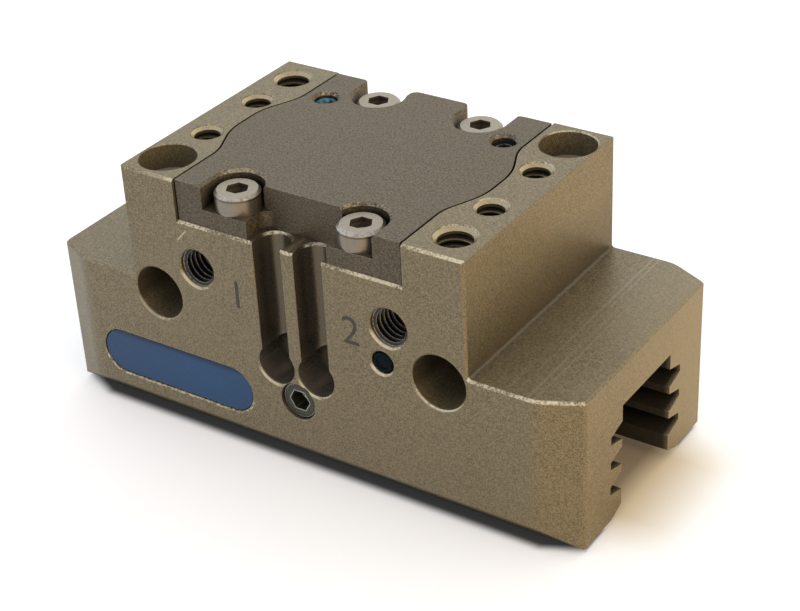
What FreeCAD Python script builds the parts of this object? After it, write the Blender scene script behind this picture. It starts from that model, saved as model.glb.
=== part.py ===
import FreeCAD, Part
import math
import os

V = FreeCAD.Vector

# The gripper lies as it does on the bench: mounting face up, base jaws down.
# X runs along the jaw travel, -Y is the face with the air ports, Z is up.
# The origin is on the bench under the middle of the housing. All values are in mm.

# Housing envelope
LENGTH = 75.0
WIDTH = 34.3
JAW_FOOT = 0.8
SHOULDER_ROOF = 5.4
TOWER_FILLET = 0.4
CORNER_X = 5.0
CORNER_Y = 2.4
CORNER_ROUND = 5.0
CORNER_SOFT = 0.8
BEVEL_HEIGHT = 2.7
EDGE_BREAK = 0.3
EDGE_BREAK_FINE = 0.12

FACE_Y = WIDTH / 2
BASE_Z = JAW_FOOT

# Tooth guide: grooves in each channel wall, filled by the ribs of the base jaws
GROOVE_COUNT = 3
GUIDE_WALL = 8.45
GROOVE_DEPTH = 2.7
TOOTH_PITCH = 3.5
FIRST_GROOVE = 4.25
GROOVE_FLOOR = 1.0
FLANK_RISE = 0.75
GUIDE_TOP_LAND = 2.1
MOUTH_FLARE = 2.2
MOUTH_RISE = 0.85
GUIDE_SIDE_GAP = 0.05
GUIDE_TIP_GAP = 0.15
GUIDE_FLANK_GAP = 0.06
GUIDE_TOP_GAP = 0.3
ROOT_HALF = FACE_Y - GUIDE_WALL
CREST_HALF = ROOT_HALF - GROOVE_DEPTH
MOUTH_HALF = CREST_HALF + MOUTH_FLARE
LAST_GROOVE = FIRST_GROOVE + (GROOVE_COUNT - 1) * TOOTH_PITCH
CEILING_Z = BASE_Z + LAST_GROOVE + GROOVE_FLOOR / 2 + FLANK_RISE + GUIDE_TOP_LAND
SHOULDER_Z = CEILING_Z + SHOULDER_ROOF

# Centre cover between the base jaws
CENTRE_HALF_X = 3.5
CENTRE_EDGE = 3.15
CENTRE_THICKNESS = 1.4
CENTRE_GAP = 0.1
CENTRE_JAW_GAP = 0.35
CENTRE_TOP_GAP = 0.3
CENTRE_ROUND = 1.0
CENTRE_SCREW_EDGE = 3.0
CENTRE_SCREW_R = 1.25
CENTRE_SCREW_HOLE_GAP = 0.1
CENTRE_SCREW_HEAD_R = 2.2
CENTRE_SCREW_LENGTH = 5.0
HEX_FLATS_CENTRE = 1.5
HEX_DEPTH_CENTRE = 0.8
CENTRE_HALF_Y = FACE_Y - CENTRE_EDGE
CENTRE_SCREW_Y = CENTRE_HALF_Y - CENTRE_SCREW_EDGE
CENTRE_TOP_Z = BASE_Z + CENTRE_THICKNESS

# Base jaws, drawn closed
STROKE = 6.0
JAW_INNER = 0.5
JAW_RECESS = 8.5
INNER_THREAD_X = 10.0
OUTER_THREAD_INSET = 7.0
INNER_THREAD_DEPTH = 5.0
OUTER_THREAD_DEPTH = 9.0
FINGER_THREAD_R = 2.0
SLEEVE_SEAT_R = 3.0
SLEEVE_SEAT_DEPTH = 1.6
JAW_OUTER = LENGTH / 2 - JAW_RECESS
JAW_TOP_Z = CEILING_Z - GUIDE_TOP_GAP

# Wedge hook: its flanks rise outwards at 45 degrees, so one mm of piston is one mm of jaw
FACE_OFFSET = -3.4
HOOK_TOP_GAP = 0.45
HOOK_FLOOR_GAP = 0.2
HOOK_SIDE = 0.4
FLANGE_SIDE = 1.6
FLANGE_REACH = 2.0
LIP_THICKNESS = 1.9
FLANGE_THICKNESS = 2.0
WEDGE_GAP = 0.06
DIAGONAL = math.sqrt(2)
HOOK_HALF = CREST_HALF - HOOK_SIDE
FLANGE_HALF = CREST_HALF - FLANGE_SIDE
NECK_HALF = FLANGE_HALF - FLANGE_REACH
SLOT_FLOOR_Z = CENTRE_TOP_Z + CENTRE_TOP_GAP
HOOK_BOTTOM_Z = SLOT_FLOOR_Z + HOOK_FLOOR_GAP + STROKE
HOOK_TOP_Z = CEILING_Z - HOOK_TOP_GAP
ROD_R = 4.0
ROD_GAP = 0.05
SPIGOT_STEP = 1.0
SPIGOT_HEIGHT = 1.0
SPIGOT_R = ROD_R - SPIGOT_STEP

# Oval cylinder and piston, drawn with the jaws closed (piston up)
BORE_X = 4.0
BORE_SIDE = 7.65
WEB = 3.4
COVER_THICKNESS = 5.4
PISTON_GAP = 0.1
PISTON_END_GAP = 0.3
PISTON_LAND = 0.6
PISTON_EDGE = 0.3
PISTON_SEAL_DEPTH = 1.7
PISTON_SEAL_HEIGHT = 1.9
GUIDE_RING_DEPTH = 0.9
GUIDE_RING_HEIGHT = 1.3
GUIDE_RING_SLIT = 0.6
SLIDING_SEAL_GAP = 0.03
SEAL_EDGE = 0.15
SEAL_GROOVE_GAP = 0.05
GROOVE_SLACK = 0.1
MAGNET_X = 5.2
MAGNET_INSET = 4.1
MAGNET_R = 1.5
MAGNET_HEIGHT = 2.0
MAGNET_SINK = 0.2
BORE_R = FACE_Y - BORE_SIDE
PISTON_R = BORE_R - PISTON_GAP
PISTON_SEAL_Z = PISTON_LAND
GUIDE_RING_Z = PISTON_SEAL_Z + PISTON_SEAL_HEIGHT + PISTON_LAND
PISTON_THICKNESS = GUIDE_RING_Z + GUIDE_RING_HEIGHT + PISTON_LAND
MAGNET_Y = MAGNET_INSET - BORE_R
FLOOR_Z = CEILING_Z + WEB
PISTON_BOTTOM_Z = FLOOR_Z + PISTON_END_GAP + STROKE
PISTON_TOP_Z = PISTON_BOTTOM_Z + PISTON_THICKNESS
LEDGE_Z = PISTON_TOP_Z + PISTON_END_GAP
TOP_Z = LEDGE_Z + COVER_THICKNESS

# Rod seal in the web
ROD_SEAL_WIDTH = 2.2
ROD_SEAL_HEIGHT = 1.5
ROD_SEAL_RING_HEIGHT = 0.7
RETAINER_GAP = 0.35
ROD_SEAL_SEAT_R = ROD_R + ROD_SEAL_WIDTH

# Cover plate outline: straight tabs, then a soft swelling over the oval bore
SWELL_MARGIN = 4.78
SWELL_RISE = 2.3
SWELL_FLAT = 1.2
SWELL_RUN = 2.43
SWELL_SPLIT = 0.4
WAIST_EDGE = 7.55
COVER_GAP = 0.28
COVER_FRONT_GAP = 0.3
COVER_BACK_GAP = 0.5
SWELL_HALF = BORE_X + BORE_R + SWELL_MARGIN
TAB_HALF = SWELL_HALF - SWELL_RISE
WAIST_END_Y = FACE_Y - WAIST_EDGE
NOTCH_DEPTH = 3.65
NOTCH_R = 1.3
TAB_CORNER_R = 1.0
COVER_SEAL_OFFSET = 1.7
COVER_SEAL_WIDTH = 1.6
COVER_SEAL_DEPTH = 1.2
COVER_SEAL_EDGE = 0.2

# Cover screws: M3 low-head cap screws
SCREW_FRONT_X = 8.7
SCREW_BACK_X = 7.5
SCREW_FRONT_EDGE = 3.1
SCREW_BACK_EDGE = 3.65
SCREW_HEAD_R = 2.8
SCREW_HEAD_HEIGHT = 2.4
SCREW_HEAD_BREAK = 0.35
SET_SCREW_BREAK = 0.2
SCREW_TIP_BREAK = 0.3
SCREW_SHANK_R = 1.5
SCREW_LENGTH = 8.0
SCREW_TIP_ROOM = 1.6
SCREW_HOLE_GAP = 0.1
SEAT_DEPTH = 3.1
SEAT_GAP = 0.5
SEAT_BREAK = 0.35
SEAT_OPENING = 0.25
HEX_FLATS_M3 = 2.5
HEX_DEPTH_M3 = 1.3
THREAD_SLACK = 0.02
SEAT_R = SCREW_HEAD_R + SEAT_GAP
SCREW_FRONT_Y = SCREW_FRONT_EDGE - FACE_Y
SCREW_BACK_Y = FACE_Y - SCREW_BACK_EDGE
NOTCH_HALF = SCREW_FRONT_X - SEAT_R + SEAT_OPENING
NOTCH_Y = COVER_FRONT_GAP + NOTCH_DEPTH - FACE_Y

# Mounting pattern on the top face: two seats for locating sleeves, each with an M4 thread below
# it, and two M5 threads on the diagonals, and four M4 threads between them
WING = 5.72
PATTERN_INSET = 3.8
PATTERN_EDGE = 4.5
PATTERN_INNER_Y = 5.1
LOCATING_R = 3.55
LOCATING_DEPTH = 3.25
SEAT_SCREW_DEPTH = 6.0
M5_R = 2.5
M5_DEPTH = 11.0
M4_R = 2.0
M4_DEPTH = 9.0
TIP_ANGLE = math.radians(59)
MOUTH_BREAK = 0.15
TOWER_HALF = SWELL_HALF + WING
PATTERN_X = TOWER_HALF - PATTERN_INSET
PATTERN_Y = FACE_Y - PATTERN_EDGE

# Front face: locating bores, M5 air ports, channel plug, grease port
SIDE_BORE_DROP = 1.6
SIDE_BORE_DEPTH = 8.0
SIDE_THREAD_DEPTH = 5.0
PORT_INSET = 6.5
PORT_DROP = 6.0
PORT_COUNTERSINK = 0.2
PORT_DEPTH = 6.5
AIR_CHANNEL_R = 1.0
CROSS_CHANNEL_R = 0.8
PLUG_SHIFT = 1.1
PLUG_DROP = 5.0
PLUG_R = 1.5
PLUG_COUNTERSINK = 0.2
PLUG_LENGTH = 3.0
PLUG_SINK = 0.4
PLUG_ROOM = 1.0
GREASE_DROP = 4.25
GREASE_R = 2.5
GREASE_SCREW_LENGTH = 4.0
GREASE_SCREW_SINK = 0.35
GREASE_ROOM = 1.0
GREASE_CHANNEL_R = 1.2
HEX_FLATS_M5 = 2.5
HEX_DEPTH_M5 = 2.0
SIDE_BORE_Z = SHOULDER_Z - SIDE_BORE_DROP
PORT_X = PATTERN_X - PORT_INSET
PORT_Z = LEDGE_Z - PORT_DROP
PLUG_X = PORT_X - PLUG_SHIFT
PLUG_Z = PORT_Z - PLUG_DROP

# Two ports in the cover, each closed with a small set screw
COVER_PORT_INSET = 5.28
COVER_PORT_EDGE = 7.25
COVER_PORT_R = 1.5
COVER_PORT_COUNTERSINK = 0.4
COVER_PORT_DEPTH = 4.2
COVER_PORT_SCREW_LENGTH = 3.3
HEX_FLATS_SMALL = 1.5
HEX_DEPTH_SMALL = 1.0
COVER_PORT_X = SWELL_HALF - COVER_PORT_INSET
COVER_PORT_Y = FACE_Y - COVER_PORT_EDGE

# Sensor slots
SLOT_X = 2.88
SLOT_R = 2.0
SLOT_DEPTH = 3.75
SLOT_FLARE = 0.15
SLOT_END_R = 2.6
SLOT_END_HEIGHT = 13.35
SLOT_END_DEPTH = 4.6
SLOT_END_Z = BASE_Z + SLOT_END_HEIGHT
GREASE_Z = SLOT_END_Z - GREASE_DROP

# Name plate
PLATE_INSET = 1.85
PLATE_MIDDLE = 7.65
PLATE_LENGTH = 23.7
PLATE_HEIGHT = 6.3
PLATE_RECESS = 0.5
PLATE_THICKNESS = 0.4
PLATE_GAP = 0.15
PLATE_X = PLATE_LENGTH / 2 - (LENGTH / 2 - CORNER_X - PLATE_INSET)
PLATE_Z = BASE_Z + PLATE_MIDDLE

# Piston screw: M4 low-head cap screw
PISTON_SCREW_R = 2.0
PISTON_SCREW_LENGTH = 10.0
PISTON_SCREW_HEAD_R = 3.5
PISTON_SCREW_HEAD = 2.4
PISTON_SCREW_SINK = 0.4
PISTON_SCREW_GAP = 0.2
HEX_FLATS_M4 = 2.5
HEX_DEPTH_M4 = 1.5
HEAD_RELIEF_GAP = 0.7
HEAD_RELIEF_DEPTH = 0.8
PISTON_SCREW_SEAT = PISTON_SCREW_HEAD + PISTON_SCREW_SINK

# Where the air channels break into the cylinder. Heights above its floor and below the ledge,
# in channel radii; places from the middle of the round end, in bore radii.
AIR_FOOT = 0.7
AIR_HEAD = 1.6
PORT_AIR_X = 0.45
PORT_AIR_Y = 0.55
COVER_AIR_X = 0.6
COVER_AIR_Y = 0.4
CROSS_AIR_Y = 0.15

# Cutting tools start this far outside the face that they enter
LEAD = 1.0
MOUTH_LEAD = 0.1

# Edges are picked by their place to within this
NEAR = 0.01


def box(x0, x1, y0, y1, z0, z1):
    return Part.makeBox(x1 - x0, y1 - y0, z1 - z0, V(x0, y0, z0))


def post(x, y, z0, z1, r):
    return Part.makeCylinder(r, z1 - z0, V(x, y, z0))


def prism_yz(points, x0, x1):
    wire = Part.makePolygon([V(x0, y, z) for y, z in points + points[:1]])
    return Part.Face(wire).extrude(V(x1 - x0, 0, 0))


def prism_xz(points, y0, y1):
    wire = Part.makePolygon([V(x, y0, z) for x, z in points + points[:1]])
    return Part.Face(wire).extrude(V(0, y1 - y0, 0))


def prism_xy(points, z0, z1):
    wire = Part.makePolygon([V(x, y, z0) for x, y in points + points[:1]])
    return Part.Face(wire).extrude(V(0, 0, z1 - z0))


def blind_hole(point, direction, r, depth):
    # A drilled hole with a conical end, entered slightly outside the face.
    hole = Part.makeCylinder(r, depth + LEAD, point - direction * LEAD, direction)
    end = point + direction * depth
    return hole.fuse(Part.makeCone(r, 0, r / math.tan(TIP_ANGLE), end, direction))


def mouth_cone(point, direction, r_mouth, r_hole):
    # A 45 degree countersink that starts on the face itself.
    height = r_mouth - r_hole + MOUTH_LEAD
    return Part.makeCone(r_mouth + MOUTH_LEAD, r_hole, height, point - direction * MOUTH_LEAD, direction)


def hex_socket(point, direction, flats, depth):
    # A hexagonal socket with the drill point that every broached socket has.
    circum = flats / math.sqrt(3)
    side = direction.cross(V(0, 0, 1))
    if side.Length < NEAR:
        side = V(1, 0, 0)
    side.normalize()
    other = direction.cross(side)
    start = point - direction * MOUTH_LEAD
    corners = []
    for k in range(7):
        a = math.radians(60 * k)
        corners.append(start + side * (circum * math.cos(a)) + other * (circum * math.sin(a)))
    hexagon = Part.Face(Part.makePolygon(corners)).extrude(direction * (depth + MOUTH_LEAD))
    tip = Part.makeCone(flats / 2, 0, flats / 2 / math.tan(TIP_ANGLE), point + direction * depth, direction)
    return hexagon.fuse(tip)


def oval(r, z0, z1, half_x=BORE_X):
    # Stadium-shaped slab: two round ends joined by straight sides.
    body = post(-half_x, 0, z0, z1, r).fuse(post(half_x, 0, z0, z1, r))
    return body.fuse(box(-half_x, half_x, -r, r, z0, z1)).removeSplitter()


def oval_ring(r_out, r_in, z0, z1, edge=0.0):
    ring = oval(r_out, z0, z1).cut(oval(r_in, z0 - LEAD, z1 + LEAD))
    if edge:
        ring = ring.makeChamfer(edge, ring.Edges)
    return ring


def ring(r_out, r_in, z0, z1, edge=0.0):
    body = post(0, 0, z0, z1, r_out).cut(post(0, 0, z0 - LEAD, z1 + LEAD, r_in))
    if edge:
        body = body.makeChamfer(edge, [e for e in body.Edges if e.BoundBox.ZLength < NEAR])
    return body


def pill(length, height, y0, y1):
    r = height / 2
    reach = length / 2 - r
    body = box(PLATE_X - reach, PLATE_X + reach, y0, y1, PLATE_Z - r, PLATE_Z + r)
    for x in (PLATE_X - reach, PLATE_X + reach):
        body = body.fuse(Part.makeCylinder(r, y1 - y0, V(x, y0, PLATE_Z), V(0, 1, 0)))
    return body.removeSplitter()


def guide_half(side_gap, tip_gap, flank_gap):
    # Half widths and heights of the tooth profile from below the first groove to above the last.
    points = []
    crest = CREST_HALF - side_gap
    root = ROOT_HALF - tip_gap
    for k in range(GROOVE_COUNT):
        middle = BASE_Z + FIRST_GROOVE + k * TOOTH_PITCH
        inner = GROOVE_FLOOR / 2 - flank_gap
        outer = inner + FLANK_RISE
        points += [(crest, middle - outer), (root, middle - inner)]
        points += [(root, middle + inner), (crest, middle + outer)]
    return points


def mirrored(points):
    return points + [(-a, b) for a, b in reversed(points)]


def guide_channel():
    slope = MOUTH_RISE / MOUTH_FLARE
    half = [(MOUTH_HALF + LEAD, BASE_Z - slope * LEAD), (MOUTH_HALF, BASE_Z)]
    half += [(CREST_HALF, BASE_Z + MOUTH_RISE)] + guide_half(0, 0, 0) + [(CREST_HALF, CEILING_Z)]
    return prism_yz(mirrored(half), -LENGTH / 2 - LEAD, LENGTH / 2 + LEAD)


def plan_block():
    # Plan with clipped corners, softly rounded into the front and the back.
    half = LENGTH / 2
    a = half - CORNER_X
    b = FACE_Y - CORNER_Y
    quarter = [(a, FACE_Y), (half, b), (half, -b), (a, -FACE_Y)]
    block = prism_xy(quarter + [(-x, y) for x, y in reversed(quarter)], BASE_Z - LEAD, TOP_Z + LEAD)
    upright = [e for e in block.Edges if e.BoundBox.ZLength > LEAD]
    block = block.makeFillet(CORNER_ROUND, [e for e in upright if abs(e.BoundBox.XMin) < half - NEAR])
    upright = [e for e in block.Edges if e.BoundBox.ZLength > LEAD and abs(e.BoundBox.XMin) > half - NEAR]
    return block.makeFillet(CORNER_SOFT, upright)


def bottom_bevel(side):
    slope = BEVEL_HEIGHT / CORNER_Y
    near = side * (FACE_Y + LEAD)
    points = [(near, BASE_Z + BEVEL_HEIGHT + slope * LEAD), (near, BASE_Z - slope * LEAD)]
    points.append((side * (FACE_Y - CORNER_Y - LEAD), BASE_Z - slope * LEAD))
    return prism_yz(points, -LENGTH / 2 - LEAD, LENGTH / 2 + LEAD)


def rim_edges(block, z, crosswise):
    # Level edges round the top or round the shoulders: those across the length, or the others.
    edges = []
    for e in block.Edges:
        b = e.BoundBox
        reach = max(abs(b.XMin), abs(b.XMax))
        outer = z > SHOULDER_Z or reach > TOWER_HALF + TOWER_FILLET + NEAR
        level = b.ZLength < NEAR and abs(b.ZMin - z) < NEAR
        if level and outer and crosswise == (b.XLength < NEAR):
            edges.append(e)
    return edges


def housing_block():
    # Stepped block: the front view with filleted steps, cut to the plan.
    half = LENGTH / 2
    block = box(-half, half, -FACE_Y, FACE_Y, BASE_Z, SHOULDER_Z)
    block = block.fuse(box(-TOWER_HALF, TOWER_HALF, -FACE_Y, FACE_Y, BASE_Z, TOP_Z)).removeSplitter()
    steps = []
    for e in block.Edges:
        b = e.BoundBox
        inner = abs(b.ZMin - SHOULDER_Z) < NEAR and abs(abs(b.XMin) - TOWER_HALF) < NEAR
        if inner and b.YLength > WIDTH - NEAR:
            steps.append(e)
    block = block.makeFillet(TOWER_FILLET, steps)
    block = block.common(plan_block())
    block = block.cut([bottom_bevel(side) for side in (-1, 1)])
    # The front and back edges are broken, the long top edges beside the wings only finely.
    rims = rim_edges(block, TOP_Z, False) + rim_edges(block, SHOULDER_Z, False)
    block = block.makeChamfer(EDGE_BREAK, rims)
    return block.makeChamfer(EDGE_BREAK_FINE, rim_edges(block, TOP_Z, True))


def swell_bend():
    # Two arcs and the straight run between them, which carry the outline from the tab out to the
    # swelling: their radii and the angle that they turn through.
    drop = WAIST_END_Y - SWELL_FLAT
    total = (SWELL_RISE ** 2 + drop ** 2 - SWELL_RUN ** 2) / (2 * SWELL_RISE)
    angle = math.atan2(drop, total - SWELL_RISE) - math.atan2(SWELL_RUN, total)
    return SWELL_SPLIT * total, (1 - SWELL_SPLIT) * total, angle


def cover_side(side, inset, y_front, y_back):
    r1, r2, angle = swell_bend()
    tab = TAB_HALF - inset
    swell = SWELL_HALF - inset

    def first(a):
        return tab + r1 * (1 - math.cos(a)), WAIST_END_Y - r1 * math.sin(a)

    def second(a):
        return swell - r2 * (1 - math.cos(a)), SWELL_FLAT + r2 * math.sin(a)

    half = [(tab, WAIST_END_Y), first(angle / 2), first(angle), second(angle), second(angle / 2),
            (swell, SWELL_FLAT)]
    back = [V(side * x, y, 0) for x, y in half]
    front = [V(side * x, -y, 0) for x, y in reversed(half)]
    curves = []
    for p in (back, front):
        curves += [Part.Arc(p[0], p[1], p[2]), Part.LineSegment(p[2], p[3]), Part.Arc(p[3], p[4], p[5])]
    curves.append(Part.LineSegment(back[5], front[0]))
    curves.append(Part.LineSegment(V(side * tab, y_back, 0), back[0]))
    curves.append(Part.LineSegment(front[5], V(side * tab, y_front, 0)))
    return [c.toShape() for c in curves]


def cover_outline(inset, y_front, y_back):
    # Closed outline of the pocket (inset 0) or of the cover plate (inset by the gap).
    tab = TAB_HALF - inset
    edges = cover_side(1, inset, y_front, y_back) + cover_side(-1, inset, y_front, y_back)
    for y in (y_front, y_back):
        edges.append(Part.LineSegment(V(-tab, y, 0), V(tab, y, 0)).toShape())
    return Part.Face(Part.Wire(Part.sortEdges(edges)[0]))


def cover_slab(inset, y_front, y_back, z0, z1):
    face = cover_outline(inset, y_front, y_back)
    face.translate(V(0, 0, z0))
    return face.extrude(V(0, 0, z1 - z0))


def screw_places():
    pairs = ((SCREW_FRONT_X, SCREW_FRONT_Y), (SCREW_BACK_X, SCREW_BACK_Y))
    return [(side * x, y) for x, y in pairs for side in (-1, 1)]


def drilling(start, end, r):
    return Part.makeCylinder(r, (end - start).Length, start, end - start)


def air_channels():
    # Left port feeds the space under the piston, right port the space above it.
    low = FLOOR_Z + AIR_CHANNEL_R * AIR_FOOT
    high = LEDGE_Z - AIR_CHANNEL_R * AIR_HEAD
    deep = PORT_DEPTH - FACE_Y - AIR_CHANNEL_R / 2
    cuts = []
    for side, z in ((-1, low), (1, high)):
        end = V(side * (BORE_X + BORE_R * PORT_AIR_X), -BORE_R * PORT_AIR_Y, z)
        cuts.append(drilling(V(side * PORT_X, deep, PORT_Z), end, AIR_CHANNEL_R))
    # The plugged cross drilling reaches the foot of the cylinder.
    cross = V(PLUG_X, -FACE_Y, PLUG_Z + CROSS_CHANNEL_R / 2)
    cuts.append(drilling(cross, V(PLUG_X, -BORE_R * CROSS_AIR_Y, cross.z), CROSS_CHANNEL_R))
    # From the cover ports: the left one down to the foot, the right one into the top.
    for side, z in ((-1, low), (1, high)):
        end = V(side * (BORE_X + BORE_R * COVER_AIR_X), BORE_R * COVER_AIR_Y, z)
        cuts.append(drilling(V(side * COVER_PORT_X, COVER_PORT_Y, LEDGE_Z + LEAD), end, CROSS_CHANNEL_R))
    return cuts


def mounting_holes():
    down = V(0, 0, -1)
    cuts = []
    for side in (-1, 1):
        spot = V(side * PATTERN_X, side * PATTERN_Y, TOP_Z)
        cuts.append(Part.makeCylinder(LOCATING_R, LOCATING_DEPTH + LEAD, spot - down * LEAD, down))
        cuts.append(mouth_cone(spot, down, LOCATING_R + MOUTH_BREAK, LOCATING_R))
        cuts.append(blind_hole(spot + down * LOCATING_DEPTH, down, M4_R, SEAT_SCREW_DEPTH))
        threads = [(-side * PATTERN_Y, M5_R, M5_DEPTH)]
        threads += [(y, M4_R, M4_DEPTH) for y in (-PATTERN_INNER_Y, PATTERN_INNER_Y)]
        for y, r, depth in threads:
            spot = V(side * PATTERN_X, y, TOP_Z)
            cuts.append(blind_hole(spot, down, r, depth))
            cuts.append(mouth_cone(spot, down, r + MOUTH_BREAK, r))
    return cuts


def front_holes():
    back = V(0, 1, 0)
    cuts = []
    for side in (-1, 1):
        spot = V(side * PATTERN_X, -FACE_Y, SIDE_BORE_Z)
        cuts.append(Part.makeCylinder(LOCATING_R, SIDE_BORE_DEPTH + LEAD, spot - back * LEAD, back))
        cuts.append(mouth_cone(spot, back, LOCATING_R + MOUTH_BREAK, LOCATING_R))
        cuts.append(blind_hole(spot + back * SIDE_BORE_DEPTH, back, M5_R, SIDE_THREAD_DEPTH))
        spot = V(side * PORT_X, -FACE_Y, PORT_Z)
        cuts.append(blind_hole(spot, back, M5_R, PORT_DEPTH))
        cuts.append(mouth_cone(spot, back, M5_R + PORT_COUNTERSINK, M5_R))
    spot = V(PLUG_X, -FACE_Y, PLUG_Z)
    cuts.append(blind_hole(spot, back, PLUG_R, PLUG_SINK + PLUG_LENGTH + PLUG_ROOM))
    cuts.append(mouth_cone(spot, back, PLUG_R + PLUG_COUNTERSINK, PLUG_R))
    spot = V(0, -FACE_Y, GREASE_Z)
    seat = GREASE_SCREW_SINK + GREASE_SCREW_LENGTH + GREASE_ROOM
    cuts.append(Part.makeCylinder(GREASE_R, seat + LEAD, spot - back * LEAD, back))
    cuts.append(Part.makeCylinder(GREASE_CHANNEL_R, FACE_Y, spot, back))
    return cuts


def sensor_slot(x):
    # A round-bottomed groove with a broken mouth, open at the ledge, that ends in a round pocket.
    y_axis = SLOT_DEPTH - SLOT_R - FACE_Y
    top = LEDGE_Z + LEAD
    mouth = SLOT_R + SLOT_FLARE
    profile = [(x - mouth - LEAD, -FACE_Y - LEAD), (x - mouth, -FACE_Y), (x - SLOT_R, SLOT_FLARE - FACE_Y),
               (x - SLOT_R, y_axis), (x + SLOT_R, y_axis), (x + SLOT_R, SLOT_FLARE - FACE_Y),
               (x + mouth, -FACE_Y), (x + mouth + LEAD, -FACE_Y - LEAD)]
    cuts = [post(x, y_axis, SLOT_END_Z, top, SLOT_R), prism_xy(profile, SLOT_END_Z, top)]
    cuts.append(mouth_cone(V(x, y_axis, LEDGE_Z), V(0, 0, -1), SLOT_R + EDGE_BREAK, SLOT_R))
    pocket = V(x, -FACE_Y, SLOT_END_Z)
    back = V(0, 1, 0)
    cuts.append(Part.makeCylinder(SLOT_END_R, SLOT_END_DEPTH + LEAD, pocket - back * LEAD, back))
    cuts.append(mouth_cone(pocket, back, SLOT_END_R + SLOT_FLARE, SLOT_END_R))
    return cuts


def ledge_break():
    # The front edge of the ledge under the cover is broken like the other outer edges.
    reach = EDGE_BREAK + LEAD
    outside = -FACE_Y - LEAD
    points = [(outside, LEDGE_Z - reach), (reach - FACE_Y, LEDGE_Z + LEAD), (outside, LEDGE_Z + LEAD)]
    return prism_yz(points, -TAB_HALF, TAB_HALF)


def housing():
    pocket = cover_slab(0, -FACE_Y - LEAD, FACE_Y + LEAD, LEDGE_Z, TOP_Z + LEAD)
    cuts = [guide_channel(), pocket, ledge_break(), oval(BORE_R, FLOOR_Z, LEDGE_Z + LEAD)]
    seal_r = BORE_R + COVER_SEAL_OFFSET + COVER_SEAL_WIDTH / 2
    cuts.append(oval_ring(seal_r, seal_r - COVER_SEAL_WIDTH, LEDGE_Z - COVER_SEAL_DEPTH, LEDGE_Z + LEAD))
    cuts.append(post(0, 0, CEILING_Z - LEAD, FLOOR_Z + LEAD, ROD_R + ROD_GAP))
    seat = ROD_SEAL_HEIGHT + ROD_SEAL_RING_HEIGHT
    cuts.append(post(0, 0, FLOOR_Z - seat, FLOOR_Z + LEAD, ROD_SEAL_SEAT_R))
    for x, y in screw_places():
        depth = SCREW_LENGTH - (COVER_THICKNESS - SEAT_DEPTH) + SCREW_TIP_ROOM
        cuts.append(blind_hole(V(x, y, LEDGE_Z), V(0, 0, -1), SCREW_SHANK_R, depth))
    cuts += mounting_holes() + front_holes() + air_channels()
    for side in (-1, 1):
        cuts += sensor_slot(side * SLOT_X)
        spot = V(0, side * CENTRE_SCREW_Y, CENTRE_TOP_Z)
        cuts.append(blind_hole(spot, V(0, 0, 1), CENTRE_SCREW_R, CENTRE_SCREW_LENGTH))
    cuts.append(pill(PLATE_LENGTH, PLATE_HEIGHT, -FACE_Y - LEAD, PLATE_RECESS - FACE_Y))
    a = CENTRE_HALF_X + CENTRE_GAP
    b = CENTRE_HALF_Y + CENTRE_GAP
    cuts.append(box(-a, a, -b, b, BASE_Z - LEAD, CENTRE_TOP_Z))
    return housing_block().cut(cuts)


def screw_seat(x, y):
    # Round seat, open outwards; the front seats also open into the set-back middle.
    z0 = TOP_Z - SEAT_DEPTH
    z1 = TOP_Z + LEAD
    y0, y1 = sorted((y, math.copysign(FACE_Y + LEAD, y)))
    seat = post(x, y, z0, z1, SEAT_R).fuse(box(x - SEAT_R, x + SEAT_R, y0, y1, z0, z1))
    if y < 0:
        x0, x1 = sorted((math.copysign(NOTCH_HALF - NOTCH_R, x), x))
        seat = seat.fuse(box(x0, x1, -FACE_Y - LEAD, NOTCH_Y, z0, z1))
    return seat.removeSplitter()


def seat_break(x, y):
    # The seat's upper edge is broken, round the back and along its outer wall.
    edge = x + math.copysign(SEAT_R, x)
    far = edge + math.copysign(SEAT_BREAK + LEAD, x)
    points = [(edge, TOP_Z - SEAT_BREAK), (far, TOP_Z + LEAD), (edge, TOP_Z + LEAD)]
    y0, y1 = sorted((y, math.copysign(FACE_Y + LEAD, y)))
    cone = mouth_cone(V(x, y, TOP_Z), V(0, 0, -1), SEAT_R + SEAT_BREAK, SEAT_R)
    return [cone, prism_xz(points, y0, y1)]


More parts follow.
